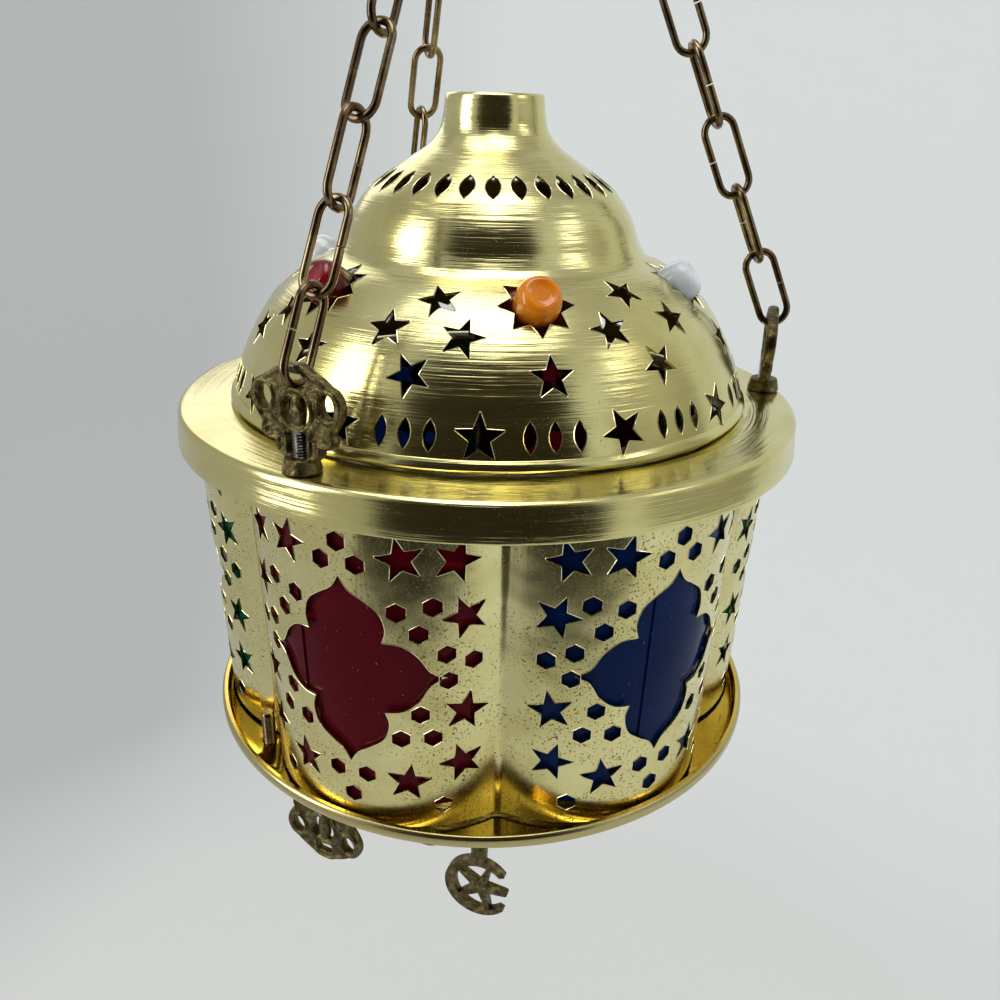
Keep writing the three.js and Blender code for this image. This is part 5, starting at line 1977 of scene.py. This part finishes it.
@dataclass
class LowerDome:
    """The upside down dome under the dish, its beads and the crescent finial."""

    top: float = DISH_FLOOR - SHEET - GAP
    radius: float = 61.0
    depth: float = 63.0
    waist: float = 37.0
    waist_depth: float = 30.0
    neck: float = 10.0
    star_start: float = -17.0
    star_depth: float = 20.0
    elevation: float = -24.0
    stem: float = 3.2
    collar: float = 5.2
    centre: float = -198.0
    crescent: float = 13.6
    bore: float = 10.6
    shift: float = 1.2
    thick: float = 3.2
    opening: float = 38.0
    turn: float = -20.0
    star: float = 10.9
    star_waist: float = 3.0
    reach: float = 6.0
    steps: int = 200
    colours: tuple[Slot, ...] = (Slot.RUBY, Slot.MILKY, Slot.GREEN, Slot.AMBER, Slot.BLUE, Slot.MILKY)

    def outline(self) -> Outline:
        """Gives the outer skin from the rim down to the neck.

        Returns:
            Radius and height along the skin.
        """
        ledge = self.top - self.waist_depth
        wide, narrow = self.radius - self.waist, self.waist - self.neck
        reach = self.depth - self.waist_depth
        rim = ((0.0, 0.0), (0.8, 1.6), (-0.8, 3.4))
        belly = ((0.2, 0.4), (0.44, 0.7), (0.76, 0.913))
        cone = ((0.85, 0.25), (0.57, 0.48), (0.31, 0.62), (0.11, 0.75))
        line = [(self.radius + out, self.top - down) for out, down in rim]
        line += [(self.radius - wide * a, self.top - self.waist_depth * b) for a, b in belly]
        line += [(self.waist, ledge), (self.waist - 1, ledge - 2)]
        line += [(self.neck + narrow * a, ledge - reach * b) for a, b in cone]
        line += [(self.neck + 0.5, ledge - reach * 0.88), (self.neck, self.top - self.depth)]
        return flowing(line, TURNED_STEP)

    def bead_place(self, index: int) -> Matrix:
        """Gives the place of one bead and of the star that holds it.

        Args:
            index: The bead's number, from 0.

        Returns:
            The place.
        """
        height = self.top - self.star_depth
        radius = crossing(self.outline(), height)[0]
        azimuth = self.star_start + index * 360 / BEADS
        return facing(polar(azimuth, radius, height), slope(azimuth, self.elevation))

    def bowl(self) -> None:
        """Builds the pierced bowl and its burrs."""
        outer = self.outline()
        foot = self.top - self.depth
        hole = self.stem + GAP
        bottom = [(hole, foot), (hole, foot + SHEET), (self.neck - SHEET, foot + SHEET)]
        press = Press(spun(outer + bottom + inside_of(outer, -SHEET)[-2::-1], self.steps))
        for i in range(BEADS):
            press.stamp(bead_star(), self.bead_place(i), self.reach)
        deliver_sheet(press, Ticket("lower_bowl", Slot.BRASS, SPUN, ("base_dome",)), "lower_burrs")

    def beads(self) -> None:
        """Builds the six beads of the bowl."""
        for i, slot in enumerate(self.colours):
            nodes = ("base_bead",) if i == 0 else ()
            Bead().deliver(self.bead_place(i), f"lower_bead_{i + 1}", slot, nodes)

    def crescent_outline(self) -> Outline:
        """Gives the crescent round the star's middle.

        Returns:
            The crescent's outline.
        """
        start = math.radians(self.opening)
        end = 2 * math.pi - start
        back = arc(self.bore, start, end, 40)[-2:0:-1]
        return arc(self.crescent, start, end, 40) + [(self.shift + x, y) for x, y in back]

    def finial(self) -> None:
        """Builds the crescent and star on their stem."""
        star = star_outline(5, self.star, self.star_waist, -18, 5.0)
        star = [(x + self.shift, y) for x, y in star]
        upright = Matrix.Rotation(math.radians(90), 4, "X")
        turned = Matrix.Rotation(math.radians(self.turn), 4, "Z") @ upright
        place = Matrix.Translation((0, 0, self.centre)) @ turned
        half = self.thick / 2
        plates = [prism(shape, place, -half, half) for shape in (self.crescent_outline(), star)]
        low = self.top - self.depth + SHEET + GAP
        nut = prism(ring_outline(self.collar, 6), Matrix.Identity(4), low, low + 3)
        parts = [*plates, self.stem_mesh(), nut]
        deliver(joined(parts), Ticket("crescent_finial", Slot.CASTING, CAST, ("finial",)))

    def stem_mesh(self) -> Mesh:
        """Turns the stem with its collar under the bowl's neck.

        Returns:
            The stem.
        """
        neck = self.top - self.depth
        seat = neck - GAP
        top = neck + SHEET + 5
        low = self.centre + self.crescent - 1.4
        shank = (
            (0.0, low),
            (self.stem - 0.3, low + 0.2),
            (self.stem, low + 1.2),
            (self.stem, seat - 2.4),
        )
        collar = [(self.collar, seat - 2.0), (self.collar, seat)]
        upper = [(self.stem, seat), (self.stem, top), (0.0, top)]
        return spun([*flowing(shank, 1.0, corners=(1,)), *collar, *upper], 32)

    def build(self) -> None:
        """Builds the bowl, its beads and the finial."""
        self.bowl()
        self.beads()
        self.finial()


# Studio


@dataclass
class Studio:
    """The paper bowl, the lamps, the cards for reflections and the camera."""

    floor: float = -0.90
    reach: float = 1.15
    height: float = 1.0
    lens: float = 32.61
    sensor: float = 36.0
    camera_place: tuple[float, float, float] = (0.0, -0.26505, -0.180386)
    yaw: float = 0.016
    pitch: float = 0.404
    roll: float = 0.027
    # Each card's name, shade, the axis it turns about, and the centre and half size of its faces
    cards: tuple = (
        (
            "studio_card",
            tone(0.03, 0.025, 0.018),
            "X",
            (((0.03, -0.55, -0.32), (0.42, 0.33)), ((0.04, -0.55, 0.27), (0.34, 0.26))),
        ),
        ("studio_room", tone(0.07, 0.065, 0.05), "X", (((0.0, -0.80, 0.30), (0.62, 0.66)),)),
        ("studio_side", tone(0.45, 0.44, 0.40), "Y", (((0.72, -0.20, -0.15), (0.42, 0.34)),)),
    )
    # Each lamp's name, place, size and power
    lights: tuple = (
        ("lamp_top", (-0.05, -0.05, 0.75), (0.8, 0.6), 5.5),
        ("lamp_left", (-0.85, -0.35, 0.0), (0.35, 0.9), 5.0),
        ("lamp_right", (0.85, -0.25, 0.05), (0.3, 0.8), 2.2),
        ("lamp_back", (-0.30, 0.85, 0.2), (0.7, 0.5), 1.2),
    )
    target: tuple[float, float, float] = (0.0, 0.0, -0.24)
    sky: tuple = tone(0.92, 0.95, 1.0)
    sky_strength: float = 0.55

    def paper(self) -> None:
        """Builds the paper as one bowl that rises all round."""
        bend = 0.35
        flat, low = self.reach - bend, self.floor + bend
        line = [(0.0, self.floor), (0.3, self.floor), (flat, self.floor)]
        line += [(flat + y, low - x) for x, y in arc(bend, 0, math.pi / 2, 12)[1:]]
        line += [(self.reach, 0.2), (self.reach, self.height)]
        mesh = spun(line, 96)
        mesh.flip_normals()
        for face in mesh.polygons:
            face.use_smooth = True
        self.show("studio_paper", mesh, StudioPaper("studio_paper"))

    def hang_cards(self) -> None:
        """Hangs cards beside and behind the camera, and leaves them to reflections alone."""
        for name, shade, axis, faces in self.cards:
            work = bmesh.new()
            for centre, (wide, tall) in faces:
                place = Matrix.Translation(centre) @ Matrix.Rotation(math.radians(90), 4, axis)
                shape = place @ Matrix.Diagonal((wide, tall, 1, 1))
                bmesh.ops.create_grid(work, x_segments=1, y_segments=1, size=1.0, matrix=shape)
            card = self.show(name, mesh_of(work), Card(name, shade))
            card.visible_camera = False
            card.visible_diffuse = False
            card.visible_transmission = False
            card.visible_shadow = False

    def show(self, name: str, mesh: Mesh, finish: Finish) -> Piece:
        """Puts a stage piece into the scene.

        Args:
            name: The piece's name.
            mesh: Its mesh, in metres.
            finish: Its finish.

        Returns:
            The piece.
        """
        mesh.materials.append(finish.material())
        piece = into_scene(name, mesh)
        return piece

    def lamp(self, name: str, place: Vector, size: tuple[float, float], power: float) -> None:
        """Hangs a soft lamp that looks at the lantern.

        Args:
            name: The lamp's name.
            place: Where it hangs, in metres.
            size: Its width and height.
            power: Its power in watts.
        """
        light = bpy.data.lights.new(name, "AREA")
        light.shape = "RECTANGLE"
        light.size, light.size_y = size
        light.energy = power
        lamp = into_scene(name, light)
        lamp.location = place
        away = place - Vector(self.target)
        lamp.rotation_euler = away.to_track_quat("Z", "Y").to_euler()
        lamp.visible_camera = False

    def lamps(self) -> None:
        """Hangs the lamps and sets the pale sky."""
        for name, place, size, power in self.lights:
            self.lamp(name, Vector(place), size, power)
        world = bpy.data.worlds.new("studio_air")
        world.use_nodes = True
        air = world.node_tree.nodes["Background"].inputs
        air[0].default_value = self.sky
        air[1].default_value = self.sky_strength
        bpy.context.scene.world = world

    def camera(self) -> None:
        """Sets the camera at the photograph's place and angle."""
        run = math.cos(self.pitch)
        ahead = (math.sin(self.yaw) * run, math.cos(self.yaw) * run)
        forward = Vector((*ahead, -math.sin(self.pitch)))
        right = Vector((math.cos(self.yaw), -math.sin(self.yaw), 0))
        up = right.cross(forward)
        level = right * math.cos(self.roll) + up * math.sin(self.roll)
        upright = up * math.cos(self.roll) - right * math.sin(self.roll)
        data = bpy.data.cameras.new("camera")
        data.lens = self.lens
        data.sensor_width = self.sensor
        data.clip_start = 0.01
        camera = into_scene("camera", data)
        turn = Matrix((level, upright, -forward)).transposed().to_4x4()
        camera.matrix_world = Matrix.Translation(self.camera_place) @ turn
        bpy.context.scene.camera = camera

    def build(self) -> None:
        """Sets up the studio."""
        self.camera()
        self.paper()
        self.hang_cards()
        self.lamps()
        bpy.context.scene.view_settings.view_transform = "Standard"


def main() -> None:
    """Builds the studio and the lantern."""
    logging.basicConfig(level=logging.INFO, format="%(name)s %(message)s")
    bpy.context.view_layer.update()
    Studio().build()
    Suspension().build()
    Castings().build()
    CrownDome().build()
    Brim().build()
    LobedWall(Lobes()).build()
    Dish().build()
    LowerDome().build()
    for leftover in [mesh for mesh in bpy.data.meshes if mesh.users == 0]:
        bpy.data.meshes.remove(leftover)


if __name__ == "__main__":
    main()
